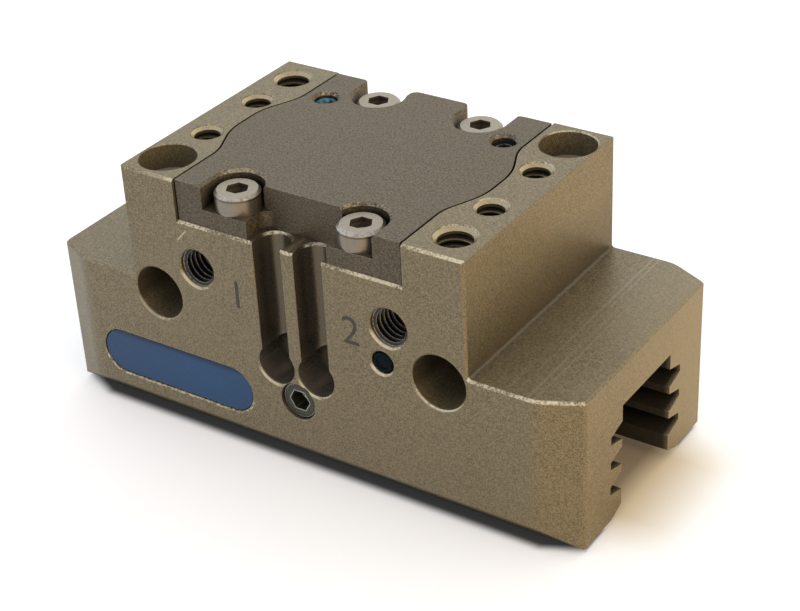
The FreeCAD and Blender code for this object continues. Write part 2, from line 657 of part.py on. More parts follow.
def cover_plate():
    front = COVER_FRONT_GAP - FACE_Y
    back = FACE_Y - COVER_BACK_GAP
    plate = cover_slab(COVER_GAP, front, back, LEDGE_Z, TOP_Z)
    # The front edge is set back between the two screw tabs.
    notch = box(-NOTCH_HALF, NOTCH_HALF, front - LEAD, NOTCH_Y, LEDGE_Z - LEAD, TOP_Z + LEAD)
    corners = [e for e in notch.Edges if e.BoundBox.ZLength > LEAD and abs(e.BoundBox.YMin - NOTCH_Y) < NEAR]
    plate = plate.cut(notch.makeFillet(NOTCH_R, corners))
    for x, y in screw_places():
        hole = post(x, y, LEDGE_Z - LEAD, TOP_Z, SCREW_SHANK_R + SCREW_HOLE_GAP)
        plate = plate.cut([screw_seat(x, y), hole])
    rounded = []
    for e in plate.Edges:
        b = e.BoundBox
        upright = b.ZLength > LEAD and b.XLength < NEAR and b.YLength < NEAR
        at_back = abs(b.YMin - back) < NEAR and b.ZMax > TOP_Z - NEAR
        if upright and at_back and abs(b.XMin) < TAB_HALF - COVER_GAP - NEAR:
            rounded.append(e)
    plate = plate.makeFillet(TAB_CORNER_R, rounded)
    down = V(0, 0, -1)
    cuts = [post(0, 0, LEDGE_Z - LEAD, LEDGE_Z + HEAD_RELIEF_DEPTH, PISTON_SCREW_HEAD_R + HEAD_RELIEF_GAP)]
    for x, y in screw_places():
        cuts += seat_break(x, y)
    for side in (-1, 1):
        spot = V(side * COVER_PORT_X, COVER_PORT_Y, TOP_Z)
        cuts.append(Part.makeCylinder(COVER_PORT_R, COVER_PORT_DEPTH + LEAD, spot - down * LEAD, down))
        cuts.append(mouth_cone(spot, down, COVER_PORT_R + COVER_PORT_COUNTERSINK, COVER_PORT_R))
        cuts.append(Part.makeCylinder(CROSS_CHANNEL_R, COVER_THICKNESS + LEAD, spot, down))
    return plate.cut(cuts)


def cover_seal():
    r = BORE_R + COVER_SEAL_OFFSET + COVER_SEAL_WIDTH / 2 - GROOVE_SLACK
    r_in = r - COVER_SEAL_WIDTH + 2 * GROOVE_SLACK
    return oval_ring(r, r_in, LEDGE_Z - COVER_SEAL_DEPTH, LEDGE_Z, COVER_SEAL_EDGE)


def cap_screw(x, y, seat_z, head_r, head_height, shank_r, length, flats, hex_depth):
    head = post(x, y, seat_z, seat_z + head_height, head_r)
    rim = [e for e in head.Edges if e.BoundBox.ZMin > seat_z + NEAR]
    head = head.makeChamfer(SCREW_HEAD_BREAK, rim)
    shank = post(x, y, seat_z - length, seat_z, shank_r)
    tip = [e for e in shank.Edges if e.BoundBox.ZMax < seat_z - NEAR]
    screw = head.fuse(shank.makeChamfer(SCREW_TIP_BREAK, tip)).removeSplitter()
    return screw.cut(hex_socket(V(x, y, seat_z + head_height), V(0, 0, -1), flats, hex_depth))


def cover_screws():
    seat_z = TOP_Z - SEAT_DEPTH
    r = SCREW_SHANK_R - THREAD_SLACK
    screws = []
    for x, y in screw_places():
        screws.append(cap_screw(x, y, seat_z, SCREW_HEAD_R, SCREW_HEAD_HEIGHT, r, SCREW_LENGTH,
                                HEX_FLATS_M3, HEX_DEPTH_M3))
    return Part.makeCompound(screws)


def set_screw(point, direction, r, length, flats, hex_depth):
    body = Part.makeCylinder(r - THREAD_SLACK, length, point, direction)
    rims = [e for e in body.Edges if len(e.Vertexes) == 1]
    body = body.makeChamfer(SET_SCREW_BREAK, rims)
    return body.cut(hex_socket(point, direction, flats, hex_depth))


def cover_port_screws():
    z = TOP_Z - COVER_PORT_DEPTH + COVER_PORT_SCREW_LENGTH
    screws = []
    for side in (-1, 1):
        spot = V(side * COVER_PORT_X, COVER_PORT_Y, z)
        screws.append(set_screw(spot, V(0, 0, -1), COVER_PORT_R, COVER_PORT_SCREW_LENGTH,
                                HEX_FLATS_SMALL, HEX_DEPTH_SMALL))
    return Part.makeCompound(screws)


def channel_plug_screw():
    spot = V(PLUG_X, PLUG_SINK - FACE_Y, PLUG_Z)
    return set_screw(spot, V(0, 1, 0), PLUG_R, PLUG_LENGTH, HEX_FLATS_SMALL, HEX_DEPTH_SMALL)


def grease_port_screw():
    spot = V(0, GREASE_SCREW_SINK - FACE_Y, GREASE_Z)
    return set_screw(spot, V(0, 1, 0), GREASE_R, GREASE_SCREW_LENGTH, HEX_FLATS_M5, HEX_DEPTH_M5)


def piston():
    body = oval(PISTON_R, PISTON_BOTTOM_Z, PISTON_TOP_Z)
    rims = [e for e in body.Edges if e.BoundBox.ZLength < NEAR]
    body = body.makeChamfer(PISTON_EDGE, rims)
    z = PISTON_BOTTOM_Z + PISTON_SEAL_Z
    cuts = [oval_ring(PISTON_R + LEAD, PISTON_R - PISTON_SEAL_DEPTH, z, z + PISTON_SEAL_HEIGHT)]
    z = PISTON_BOTTOM_Z + GUIDE_RING_Z
    cuts.append(oval_ring(PISTON_R + LEAD, PISTON_R - GUIDE_RING_DEPTH, z, z + GUIDE_RING_HEIGHT))
    head_room = PISTON_SCREW_HEAD_R + PISTON_SCREW_GAP
    cuts.append(post(0, 0, PISTON_TOP_Z - PISTON_SCREW_SEAT, PISTON_TOP_Z + LEAD, head_room))
    cuts.append(post(0, 0, PISTON_BOTTOM_Z - LEAD, PISTON_TOP_Z, PISTON_SCREW_R + PISTON_SCREW_GAP))
    cuts.append(post(0, 0, PISTON_BOTTOM_Z - LEAD, PISTON_BOTTOM_Z + SPIGOT_HEIGHT, SPIGOT_R))
    for x in (-MAGNET_X, MAGNET_X):
        z = PISTON_TOP_Z - MAGNET_HEIGHT - MAGNET_SINK
        cuts.append(post(x, MAGNET_Y, z, PISTON_TOP_Z + LEAD, MAGNET_R))
    return body.cut(cuts)


def piston_seal():
    z = PISTON_BOTTOM_Z + PISTON_SEAL_Z
    r_in = PISTON_R - PISTON_SEAL_DEPTH + THREAD_SLACK
    z0 = z + SEAL_GROOVE_GAP
    z1 = z + PISTON_SEAL_HEIGHT - SEAL_GROOVE_GAP
    return oval_ring(BORE_R - SLIDING_SEAL_GAP, r_in, z0, z1, SEAL_EDGE)


def piston_guide_ring():
    z0 = PISTON_BOTTOM_Z + GUIDE_RING_Z + SLIDING_SEAL_GAP
    z1 = z0 + GUIDE_RING_HEIGHT - 2 * SLIDING_SEAL_GAP
    band = oval_ring(BORE_R - SLIDING_SEAL_GAP, PISTON_R - GUIDE_RING_DEPTH + THREAD_SLACK, z0, z1)
    # The band is slit at 45 degrees so that it can be sprung over the piston.
    slit = [(0, z0 - LEAD), (GUIDE_RING_SLIT, z0 - LEAD)]
    slit += [(x + z1 - z0 + 2 * LEAD, z1 + LEAD) for x in (GUIDE_RING_SLIT, 0)]
    return band.cut(prism_xz(slit, 0, BORE_R + LEAD))


def piston_magnets():
    z = PISTON_TOP_Z - MAGNET_HEIGHT - MAGNET_SINK
    r = MAGNET_R - THREAD_SLACK
    return Part.makeCompound([post(x, MAGNET_Y, z, z + MAGNET_HEIGHT, r) for x in (-MAGNET_X, MAGNET_X)])


def piston_screw():
    return cap_screw(0, 0, PISTON_TOP_Z - PISTON_SCREW_SEAT, PISTON_SCREW_HEAD_R, PISTON_SCREW_HEAD,
                     PISTON_SCREW_R - THREAD_SLACK, PISTON_SCREW_LENGTH, HEX_FLATS_M4, HEX_DEPTH_M4)


def slanted(offset0, offset1, z0, z1, half_y, side):
    # Bar between two lines parallel to the wedge flank, offsets measured square to the flank.
    a = FACE_OFFSET + offset0 * DIAGONAL
    b = FACE_OFFSET + offset1 * DIAGONAL
    points = [(side * (z0 + a), z0), (side * (z0 + b), z0), (side * (z1 + b), z1), (side * (z1 + a), z1)]
    return prism_xz(points, -half_y, half_y)


def wedge_hook():
    z0 = HOOK_BOTTOM_Z
    z1 = HOOK_TOP_Z
    a = FACE_OFFSET - WEDGE_GAP * DIAGONAL
    core = [(-(z0 + a), z0), (z0 + a, z0), (z1 + a, z1), (-(z1 + a), z1)]
    hook = prism_xz(core, -HOOK_HALF, HOOK_HALF)
    flange_start = LIP_THICKNESS + WEDGE_GAP
    flange_end = flange_start + FLANGE_THICKNESS
    for side in (-1, 1):
        hook = hook.fuse(slanted(-WEDGE_GAP - LEAD, flange_end, z0, z1, NECK_HALF, side))
        hook = hook.fuse(slanted(flange_start, flange_end, z0, z1, FLANGE_HALF, side))
    hook = hook.removeSplitter()
    rod = post(0, 0, z1, PISTON_BOTTOM_Z, ROD_R)
    hook = hook.fuse([rod, post(0, 0, z1, PISTON_BOTTOM_Z + SPIGOT_HEIGHT, SPIGOT_R - THREAD_SLACK)])
    depth = PISTON_SCREW_LENGTH - (PISTON_THICKNESS - PISTON_SCREW_SEAT) + SPIGOT_HEIGHT + LEAD
    thread = blind_hole(V(0, 0, PISTON_BOTTOM_Z + SPIGOT_HEIGHT), V(0, 0, -1), PISTON_SCREW_R, depth)
    return hook.cut(thread)


def rod_seal():
    z = FLOOR_Z - ROD_SEAL_RING_HEIGHT - ROD_SEAL_HEIGHT
    return ring(ROD_SEAL_SEAT_R - THREAD_SLACK, ROD_R + SLIDING_SEAL_GAP, z, z + ROD_SEAL_HEIGHT, SEAL_EDGE)


def rod_seal_retainer():
    z = FLOOR_Z - ROD_SEAL_RING_HEIGHT
    return ring(ROD_SEAL_SEAT_R - THREAD_SLACK / 2, ROD_R + RETAINER_GAP, z, FLOOR_Z, SEAL_GROOVE_GAP)


def base_jaw(side):
    half = [(CREST_HALF - GUIDE_SIDE_GAP, 0)] + guide_half(GUIDE_SIDE_GAP, GUIDE_TIP_GAP, GUIDE_FLANK_GAP)
    half += [(CREST_HALF - GUIDE_SIDE_GAP, JAW_TOP_Z)]
    x0, x1 = sorted((side * JAW_INNER, side * JAW_OUTER))
    jaw = prism_yz(mirrored(half), x0, x1)
    low = JAW_INNER - LEAD
    high = JAW_TOP_Z + LEAD
    space = [(side * low, low - FACE_OFFSET), (side * (high + FACE_OFFSET), high), (side * low, high)]
    cuts = [prism_xz(space, -FACE_Y, FACE_Y)]
    gap = WEDGE_GAP
    flange_end = LIP_THICKNESS + FLANGE_THICKNESS + 2 * gap
    cuts.append(slanted(-LEAD, flange_end, SLOT_FLOOR_Z, high, NECK_HALF + gap, side))
    cuts.append(slanted(LIP_THICKNESS, flange_end, SLOT_FLOOR_Z, high, FLANGE_HALF + gap, side))
    # Room for the centre cover when the jaws are closed.
    x0, x1 = sorted((0, side * (CENTRE_HALF_X + CENTRE_JAW_GAP)))
    cuts.append(box(x0, x1, -FACE_Y, FACE_Y, -LEAD, SLOT_FLOOR_Z))
    threads = ((INNER_THREAD_X, INNER_THREAD_DEPTH), (JAW_OUTER - OUTER_THREAD_INSET, OUTER_THREAD_DEPTH))
    for x, depth in threads:
        cuts.append(blind_hole(V(side * x, 0, 0), V(0, 0, 1), FINGER_THREAD_R, depth))
        cuts.append(post(side * x, 0, -LEAD, SLEEVE_SEAT_DEPTH, SLEEVE_SEAT_R))
    return jaw.cut(cuts)


def centre_cover():
    plate = box(-CENTRE_HALF_X, CENTRE_HALF_X, -CENTRE_HALF_Y, CENTRE_HALF_Y, BASE_Z, CENTRE_TOP_Z)
    upright = [e for e in plate.Edges if e.BoundBox.XLength + e.BoundBox.YLength < NEAR]
    plate = plate.makeFillet(CENTRE_ROUND, upright)
    cuts = []
    for s in (-1, 1):
        spot = V(0, s * CENTRE_SCREW_Y, BASE_Z)
        hole_r = CENTRE_SCREW_R + CENTRE_SCREW_HOLE_GAP
        cuts.append(post(0, spot.y, BASE_Z - LEAD, CENTRE_TOP_Z + LEAD, hole_r))
        cuts.append(mouth_cone(spot, V(0, 0, 1), CENTRE_SCREW_HEAD_R, CENTRE_SCREW_R))
    return plate.cut(cuts)


def centre_cover_screws():
    screws = []
    up = V(0, 0, 1)
    head = CENTRE_SCREW_HEAD_R - CENTRE_SCREW_R
    for s in (-1, 1):
        spot = V(0, s * CENTRE_SCREW_Y, BASE_Z)
        r = CENTRE_SCREW_R - THREAD_SLACK
        screw = Part.makeCone(CENTRE_SCREW_HEAD_R - THREAD_SLACK, r, head, spot, up)
        screw = screw.fuse(Part.makeCylinder(r, CENTRE_SCREW_LENGTH, spot, up)).removeSplitter()
        screws.append(screw.cut(hex_socket(spot, up, HEX_FLATS_CENTRE, HEX_DEPTH_CENTRE)))
    return Part.makeCompound(screws)


def name_plate():
    y1 = -FACE_Y + PLATE_RECESS
    shrink = 2 * PLATE_GAP
    return pill(PLATE_LENGTH - shrink, PLATE_HEIGHT - shrink, y1 - PLATE_THICKNESS, y1)


PARTS = {
    "housing": housing,
    "cover_plate": cover_plate,
    "cover_seal": cover_seal,
    "cover_screws": cover_screws,
    "cover_port_screws": cover_port_screws,
    "channel_plug_screw": channel_plug_screw,
    "grease_port_screw": grease_port_screw,
    "piston": piston,
    "piston_seal": piston_seal,
    "piston_guide_ring": piston_guide_ring,
    "piston_magnets": piston_magnets,
    "piston_screw": piston_screw,
    "wedge_hook": wedge_hook,
    "rod_seal": rod_seal,
    "rod_seal_retainer": rod_seal_retainer,
    "base_jaw_left": lambda: base_jaw(-1),
    "base_jaw_right": lambda: base_jaw(1),
    "centre_cover": centre_cover,
    "centre_cover_screws": centre_cover_screws,
    "name_plate": name_plate,
}

os.makedirs("parts", exist_ok=True)
for node, build in PARTS.items():
    shape = build()
    shape.exportStep("parts/" + node + ".step")
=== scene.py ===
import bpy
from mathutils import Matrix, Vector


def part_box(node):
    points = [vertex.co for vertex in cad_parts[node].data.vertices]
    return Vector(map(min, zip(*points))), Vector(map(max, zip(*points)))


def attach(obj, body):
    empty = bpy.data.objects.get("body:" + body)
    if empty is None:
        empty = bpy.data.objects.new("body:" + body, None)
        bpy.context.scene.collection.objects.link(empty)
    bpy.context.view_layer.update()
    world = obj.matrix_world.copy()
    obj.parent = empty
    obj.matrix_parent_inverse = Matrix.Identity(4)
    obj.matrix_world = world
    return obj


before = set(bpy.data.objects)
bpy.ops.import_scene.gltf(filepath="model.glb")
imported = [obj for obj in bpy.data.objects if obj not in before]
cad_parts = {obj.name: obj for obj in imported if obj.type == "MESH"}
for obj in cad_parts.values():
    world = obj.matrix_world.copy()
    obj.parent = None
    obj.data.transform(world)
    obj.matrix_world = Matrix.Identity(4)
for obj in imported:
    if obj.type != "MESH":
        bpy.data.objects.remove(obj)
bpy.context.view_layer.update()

import math

import bpy
from mathutils import Matrix, Vector

MM = 0.001

# Places that the scene's own pieces and colours follow, in mm

X, Y, Z = 0, 1, 2


def low_high(node, axis):
    """Lowest and highest place of a node along an axis, from the frame's boxes."""
    lo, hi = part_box(node)
    return lo[axis] / MM, hi[axis] / MM


def middle(node, axis):
    """The middle of a node's box along an axis."""
    lo, hi = low_high(node, axis)
    return (lo + hi) / 2


END_X = low_high("housing", X)[1]
FACE_Y = low_high("housing", Y)[0]
TOP_Z = low_high("housing", Z)[1]
TOWER_X, SHOULDER_Z = 24.0, 20.8
CORNER_X, CORNER_Y = 5.0, 2.4
CHANNEL_Y, CHANNEL_Z = 8.8, 15.4
LEG_Y, LEG_HALF = (CHANNEL_Y - FACE_Y) / 2, -(CHANNEL_Y + FACE_Y) / 2
PATTERN_X, PATTERN_Y, INNER_Y = 20.2, 12.65, 5.1
SEAT_R, SEAT_DEPTH = 3.55, 3.25
SIDE_BORE_Z, SIDE_BORE_DEPTH = 19.2, 8.0
PORT_X, PORT_Z, PORT_R = 13.7, 24.4, 2.5
SLOT_X, SLOT_HALF, SLOT_DEPTH = 2.88, 2.65, 4.75
SLOT_HEAD_Z, SLOT_FOOT_Z, SLOT_FOOT_R = 30.4, 14.15, 2.6
COVER_SCREW_TOP = low_high("cover_screws", Z)[1]
COVER_PORT_R = 1.48
COVER_PORT_X = low_high("cover_port_screws", X)[1] - COVER_PORT_R
COVER_PORT_Y = middle("cover_port_screws", Y)
COVER_PORT_TOP = low_high("cover_port_screws", Z)[1]
PLUG_X, PLUG_Z = middle("channel_plug_screw", X), middle("channel_plug_screw", Z)
PLUG_Y = low_high("channel_plug_screw", Y)[0]
PLUG_R = low_high("channel_plug_screw", X)[1] - PLUG_X
PLATE_X, PLATE_Z = middle("name_plate", X), middle("name_plate", Z)
PLATE_HALF = low_high("name_plate", X)[1] - PLATE_X
PLATE_R = low_high("name_plate", Z)[1] - PLATE_Z
FINGER_X = (10.0, 22.0)
M5 = dict(r=2.5, pitch=0.8, depth=0.42)
M4 = dict(r=2.0, pitch=0.7, depth=0.36)


# Node helpers

def add(tree, kind, values=None, **settings):
    """A node with its settings and the values of its unlinked sockets."""
    node = tree.nodes.new(kind)
    for key, value in settings.items():
        setattr(node, key, value)
    for key, value in (values or {}).items():
        node.inputs[key].default_value = value
    return node


def wire(tree, source, target):
    tree.links.new(source, target)


def maths(tree, operation, a, b=0.0, clamp=False):
    """A Math node on sockets or numbers."""
    node = add(tree, "ShaderNodeMath", operation=operation, use_clamp=clamp)
    for slot, value in ((0, a), (1, b)):
        if hasattr(value, "is_linked"):
            wire(tree, value, node.inputs[slot])
        else:
            node.inputs[slot].default_value = value
    return node.outputs[0]


def times(tree, first, *others):
    """The product of sockets or numbers."""
    for other in others:
        first = maths(tree, "MULTIPLY", first, other)
    return first


def largest(tree, first, *others):
    """The largest of sockets or numbers."""
    for other in others:
        first = maths(tree, "MAXIMUM", first, other)
    return first


def absolute(tree, value):
    return maths(tree, "ABSOLUTE", value)


def rest_of(tree, value):
    """What a value leaves of 1."""
    return maths(tree, "SUBTRACT", 1.0, value)


def counted_from(tree, value, place):
    """A coordinate counted from a place in mm."""
    return maths(tree, "SUBTRACT", value, place * MM)


def weighed(tree, a, b, share_a, share_b):
    """A weighted sum. Of two coordinates it says how far a place lies along a slanted direction."""
    return maths(tree, "ADD", times(tree, a, share_a), times(tree, b, share_b))


def length_of(tree, a, b):
    """The length that two coordinates have together."""
    return maths(tree, "SQRT", maths(tree, "ADD", times(tree, a, a), times(tree, b, b)))


def mix_colour(tree, share, a, b):
    """A Mix Color node: share, a and b are sockets or values."""
    node = add(tree, "ShaderNodeMix", data_type="RGBA")
    for slot, value in ((0, share), (6, a), (7, b)):
        if hasattr(value, "is_linked"):
            wire(tree, value, node.inputs[slot])
        elif slot == 0:
            node.inputs[slot].default_value = value
        else:
            node.inputs[slot].default_value = (*value, 1.0)
    return node.outputs[2]


def ramp(tree, value, low, high, to_low=0.0, to_high=1.0):
    """A clamped linear map of a value."""
    node = add(tree, "ShaderNodeMapRange", {1: low, 2: high, 3: to_low, 4: to_high})
    wire(tree, value, node.inputs[0])
    return node.outputs[0]


def band(tree, value, low, high, soft):
    """1 between low and high, with soft ends."""
    return times(tree, ramp(tree, value, low - soft, low + soft),
                 ramp(tree, value, high - soft, high + soft, 1.0, 0.0))


def rise(tree, value, low, high):
    """From 0 at low to 1 at high, both in mm."""
    return ramp(tree, value, low * MM, high * MM)


def fall(tree, value, low, high):
    """From 1 at low to 0 at high, both in mm."""
    return ramp(tree, value, low * MM, high * MM, 1.0, 0.0)


def between(tree, value, low, high, soft):
    """1 between low and high, with soft ends, all in mm."""
    return band(tree, value, low * MM, high * MM, soft * MM)


def split(tree, vector):
    """The X, Y and Z of a vector socket."""
    node = add(tree, "ShaderNodeSeparateXYZ")
    wire(tree, vector, node.inputs[0])
    return node.outputs


def new_group(name, inputs, outputs):
    """An effect group with named number inputs (with their defaults) and named outputs."""
    group = bpy.data.node_groups.new(name, "ShaderNodeTree")
    for socket, default in inputs:
        made = group.interface.new_socket(socket, in_out="INPUT", socket_type="NodeSocketFloat")
        made.default_value = default
    for socket, kind in outputs:
        group.interface.new_socket(socket, in_out="OUTPUT", socket_type=kind)
    source = group.nodes.new("NodeGroupInput")
    target = group.nodes.new("NodeGroupOutput")
    return group, source.outputs, target.inputs


def place_group(tree, group, **values):
    """Puts an effect group in a material with its own values."""
    node = add(tree, "ShaderNodeGroup", node_tree=group)
    for key, value in values.items():
        socket = node.inputs[key.replace("_", " ")]
        if hasattr(value, "is_linked"):
            wire(tree, value, socket)
        else:
            socket.default_value = value
    return node


def object_noise(tree, scale, detail=2.0, roughness=0.6):
    """Noise in object coordinates; scale is a number or a socket."""
    noise = add(tree, "ShaderNodeTexNoise", {"Detail": detail, "Roughness": roughness})
    wire(tree, add(tree, "ShaderNodeTexCoord").outputs["Object"], noise.inputs["Vector"])
    if hasattr(scale, "is_linked"):
        wire(tree, scale, noise.inputs["Scale"])
    else:
        noise.inputs["Scale"].default_value = scale
    return noise.outputs[0]


# Effects

def make_edge_wear_and_glint():
    """Worn edges, broken into speckles, with a painted highlight on edges that face up and to the
    front. Front counts edges between an upper and a front face, which rub most and get the painted
    highlight, and Any counts every outward edge."""
    g, source, target = new_group(
        "edge_wear_and_glint",
        [("Width", 0.0003), ("Front", 1.0), ("Any", 0.2), ("Speckle", 2600.0), ("Amount", 0.6)],
        [("Mask", "NodeSocketFloat")])
    bevel = add(g, "ShaderNodeBevel", samples=6)
    wire(g, source["Width"], bevel.inputs["Radius"])
    turn = add(g, "ShaderNodeVectorMath", operation="DOT_PRODUCT")
    wire(g, bevel.outputs[0], turn.inputs[0])
    wire(g, add(g, "ShaderNodeNewGeometry").outputs["Normal"], turn.inputs[1])
    any_edge = ramp(g, turn.outputs["Value"], 0.99, 0.94)
    soft = split(g, bevel.outputs[0])
    # Edges facing up and to the front carry a painted highlight as well as wear.
    up = band(g, soft[Z], 0.35, 0.955, 0.03)
    front = ramp(g, soft[Y], -0.15, -0.35)
    rubbed = largest(g, times(g, up, front, source["Front"]), times(g, any_edge, source["Any"]))
    # Corners that fold inwards hold grime and aren't worn.
    open_air = add(g, "ShaderNodeAmbientOcclusion", {"Distance": 0.0006}, samples=6)
    outward = ramp(g, open_air.outputs["AO"], 0.55, 0.75)
    speckle = object_noise(g, source["Speckle"])
    patch = object_noise(g, 160.0, 1.0)
    both = weighed(g, speckle, patch, 0.7, 0.4)
    over = maths(g, "SUBTRACT", both, rest_of(g, source["Amount"]))
    broken = maths(g, "MULTIPLY", over, 5.0, clamp=True)
    wire(g, times(g, rubbed, outward, broken), target["Mask"])
    return g


def make_grain():
    """Fine grain of a blasted or anodised surface: a value about 0.5, clouds, and its bump."""
    g, source, target = new_group(
        "fine_grain", [("Size", 0.00025), ("Depth", 0.000004)],
        [("Grain", "NodeSocketFloat"), ("Cloud", "NodeSocketFloat"), ("Normal", "NodeSocketVector")])
    fine = object_noise(g, maths(g, "DIVIDE", 1.0, source["Size"]), 3.0, 0.65)
    bump = add(g, "ShaderNodeBump", {"Strength": 1.0})
    wire(g, fine, bump.inputs["Height"])
    wire(g, source["Depth"], bump.inputs["Distance"])
    wire(g, fine, target["Grain"])
    wire(g, object_noise(g, 90.0), target["Cloud"])
    wire(g, bump.outputs[0], target["Normal"])
    return g


def make_tool_marks():
    """Fine machining lines along one axis: noise stretched by a scale for each axis."""
    g, source, target = new_group(
        "tool_marks",
        [("Across X", 3000.0), ("Across Y", 60.0), ("Across Z", 3000.0), ("Depth", 0.000002)],
        [("Lines", "NodeSocketFloat"), ("Normal", "NodeSocketVector")])
    scales = add(g, "ShaderNodeCombineXYZ")
    for axis in "XYZ":
        wire(g, source["Across " + axis], scales.inputs[axis])
    stretched = add(g, "ShaderNodeVectorMath", operation="MULTIPLY")
    wire(g, add(g, "ShaderNodeTexCoord").outputs["Object"], stretched.inputs[0])
    wire(g, scales.outputs[0], stretched.inputs[1])
    lines = add(g, "ShaderNodeTexNoise", {"Scale": 1.0, "Detail": 3.0, "Roughness": 0.6})
    wire(g, stretched.outputs[0], lines.inputs["Vector"])
    bump = add(g, "ShaderNodeBump", {"Strength": 1.0})
    wire(g, lines.outputs[0], bump.inputs["Height"])
    wire(g, source["Depth"], bump.inputs["Distance"])
    wire(g, lines.outputs[0], target["Lines"])
    wire(g, bump.outputs[0], target["Normal"])
    return g


def make_hollow():
    """How enclosed a place is: 0 in the open, and 1 where less than Shut of the sky within Reach
    shows. Open is the share above which it counts as open."""
    g, source, target = new_group(
        "hollow", [("Reach", 0.0012), ("Open", 0.75), ("Shut", 0.0)], [("Mask", "NodeSocketFloat")])
    closed = add(g, "ShaderNodeAmbientOcclusion", samples=8)
    wire(g, source["Reach"], closed.inputs["Distance"])
    share = add(g, "ShaderNodeMapRange", {3: 0.0, 4: 1.0})
    wire(g, closed.outputs["AO"], share.inputs[0])
    wire(g, source["Open"], share.inputs[1])
    wire(g, source["Shut"], share.inputs[2])
    wire(g, share.outputs[0], target["Mask"])
    return g


EDGE_WEAR_AND_GLINT = make_edge_wear_and_glint()
GRAIN = make_grain()
TOOL_MARKS = make_tool_marks()
HOLLOW = make_hollow()


# Materials

# The housing's colours, from its grain through painted shade and light to its rubbed and glinting
# edges
HOUSING_DARK = (0.084, 0.068, 0.038)
HOUSING_LIGHT = (0.228, 0.185, 0.107)
HOUSING_CLOUD = (0.19, 0.152, 0.088)
TOWER_SHADE = (0.030, 0.021, 0.009)
FAR_CORNER_LIGHT = (0.30, 0.255, 0.175)
SHOULDER_LINES = (0.33, 0.33, 0.29)
SLOT_FOOT_LIGHT = (0.24, 0.21, 0.175)
SLOT_WALL_SHADE = (0.092, 0.077, 0.056)
HOUSING_CORNER_TONE = (0.035, 0.028, 0.018)
EDGE_SHADE = (0.03, 0.024, 0.014)
SEAT_FLOOR_LIGHT = (0.50, 0.44, 0.34)
PORT_SHADE = (0.008, 0.008, 0.009)
BORE_SHADE = (0.016, 0.016, 0.018)
ANODISING_WEAR_AND_GLINT = (0.60, 0.53, 0.38)

# The colours of the cover, the cap screws and the plate, with their painted shade and light
COVER_DARK = (0.046, 0.035, 0.019)
COVER_LIGHT = (0.144, 0.113, 0.073)
COVER_FRONT_SHADE = (0.030, 0.022, 0.014)
COVER_CORNER_TONE = (0.03, 0.025, 0.018)
COVER_WEAR_AND_GLINT = (0.42, 0.36, 0.26)
SCREW_DARK = (0.215, 0.188, 0.154)
SCREW_LIGHT = (0.320, 0.284, 0.236)
SCREW_SIDE_SHADE = (0.15, 0.13, 0.10)
SCREW_RING = (0.10, 0.075, 0.05)
SCREW_SOCKET_LIGHT = (0.27, 0.24, 0.20)
SCREW_WEAR_AND_GLINT = (0.50, 0.47, 0.42)
PLATE_DARK = (0.010, 0.034, 0.088)
PLATE_LIGHT = (0.030, 0.078, 0.170)
PLATE_CLOUD = (0.022, 0.078, 0.190)
PLATE_SHADE = (0.008, 0.020, 0.045)
PLATE_WEAR_AND_GLINT = (0.55, 0.58, 0.60)

# The darker tone of metals' tight corners, and the painted shade of what is too deep to see
METAL_CORNER_TONE = (0.03, 0.027, 0.022)
DEEP_SHADE = (0.010, 0.009, 0.008)


def new_material(name):
    material = bpy.data.materials.new(name)
    material.use_nodes = True
    tree = material.node_tree
    return material, tree, tree.nodes["Principled BSDF"]


def finish(t, shader, colour, rough, normal=None, metallic=0.0):
    """Wires a material's colour, roughness and bump, and sets how metallic it is all over."""
    wire(t, colour, shader.inputs["Base Color"])
    wire(t, rough, shader.inputs["Roughness"])
    if normal is not None:
        wire(t, normal, shader.inputs["Normal"])
    shader.inputs["Metallic"].default_value = metallic


def painted_deep_shade(t, colour, reach=0.006, is_open=0.42, shut=0.12, inside=DEEP_SHADE):
    """The colour with painted shade deep inside bores, slots and channels, and the mask of those
    places.
    """
    deep = place_group(t, HOLLOW, Reach=reach, Open=is_open, Shut=shut)
    return mix_colour(t, deep.outputs[0], colour, inside), deep.outputs[0]


def distance(t, a, b, centre_a, centre_b):
    """The distance of a pair of coordinates from a centre in mm."""
    return length_of(t, counted_from(t, a, centre_a), counted_from(t, b, centre_b))


def within(t, length, r):
    """1 where a length is less than a radius in mm, with a soft edge."""
    return fall(t, length, r - 0.05, r + 0.05)


def slot_region(t, x, y, z):
    """1 inside the two milled sensor slots."""
    return times(t, between(t, absolute(t, x), SLOT_X - SLOT_HALF, SLOT_X + SLOT_HALF, 0.1),
                 between(t, y, FACE_Y + 0.12, FACE_Y + SLOT_DEPTH, 0.05),
                 between(t, z, SLOT_FOOT_Z - SLOT_HALF - 0.05, SLOT_HEAD_Z, 0.1))


def front_bores(t, x, y, z):
    """1 inside the air ports, and 1 inside the side bores, from just under the front face."""
    side_x = absolute(t, x)
    inside = times(t, rise(t, y, FACE_Y + 0.35, FACE_Y + 0.9),
                   fall(t, y, FACE_Y + 14.0, FACE_Y + 15.0))
    ports = times(t, inside, within(t, distance(t, side_x, z, PORT_X, PORT_Z), PORT_R + 0.25))
    bores = times(t, inside, within(t, distance(t, side_x, z, PATTERN_X, SIDE_BORE_Z), SEAT_R - 0.15))
    return ports, bores


def seat_floors(t, x, y, z):
    """1 on the floors of the two locating seats in opposite corners of the top."""
    turned_y = times(t, y, maths(t, "SIGN", x))
    reach = distance(t, absolute(t, x), turned_y, PATTERN_X, PATTERN_Y)
    floor_z = TOP_Z - SEAT_DEPTH
    return times(t, within(t, reach, SEAT_R), between(t, z, floor_z - 0.1, floor_z + 0.05, 0.02))


def in_channel(t, x, y, z):
    """How deep a place is in the channel under the shoulders, from its two ends inwards."""
    return times(t, fall(t, absolute(t, y), CHANNEL_Y, CHANNEL_Y + 0.3),
                 fall(t, z, CHANNEL_Z + 0.1, CHANNEL_Z + 0.3),
                 fall(t, absolute(t, x), END_X - 0.7, END_X - 0.05))


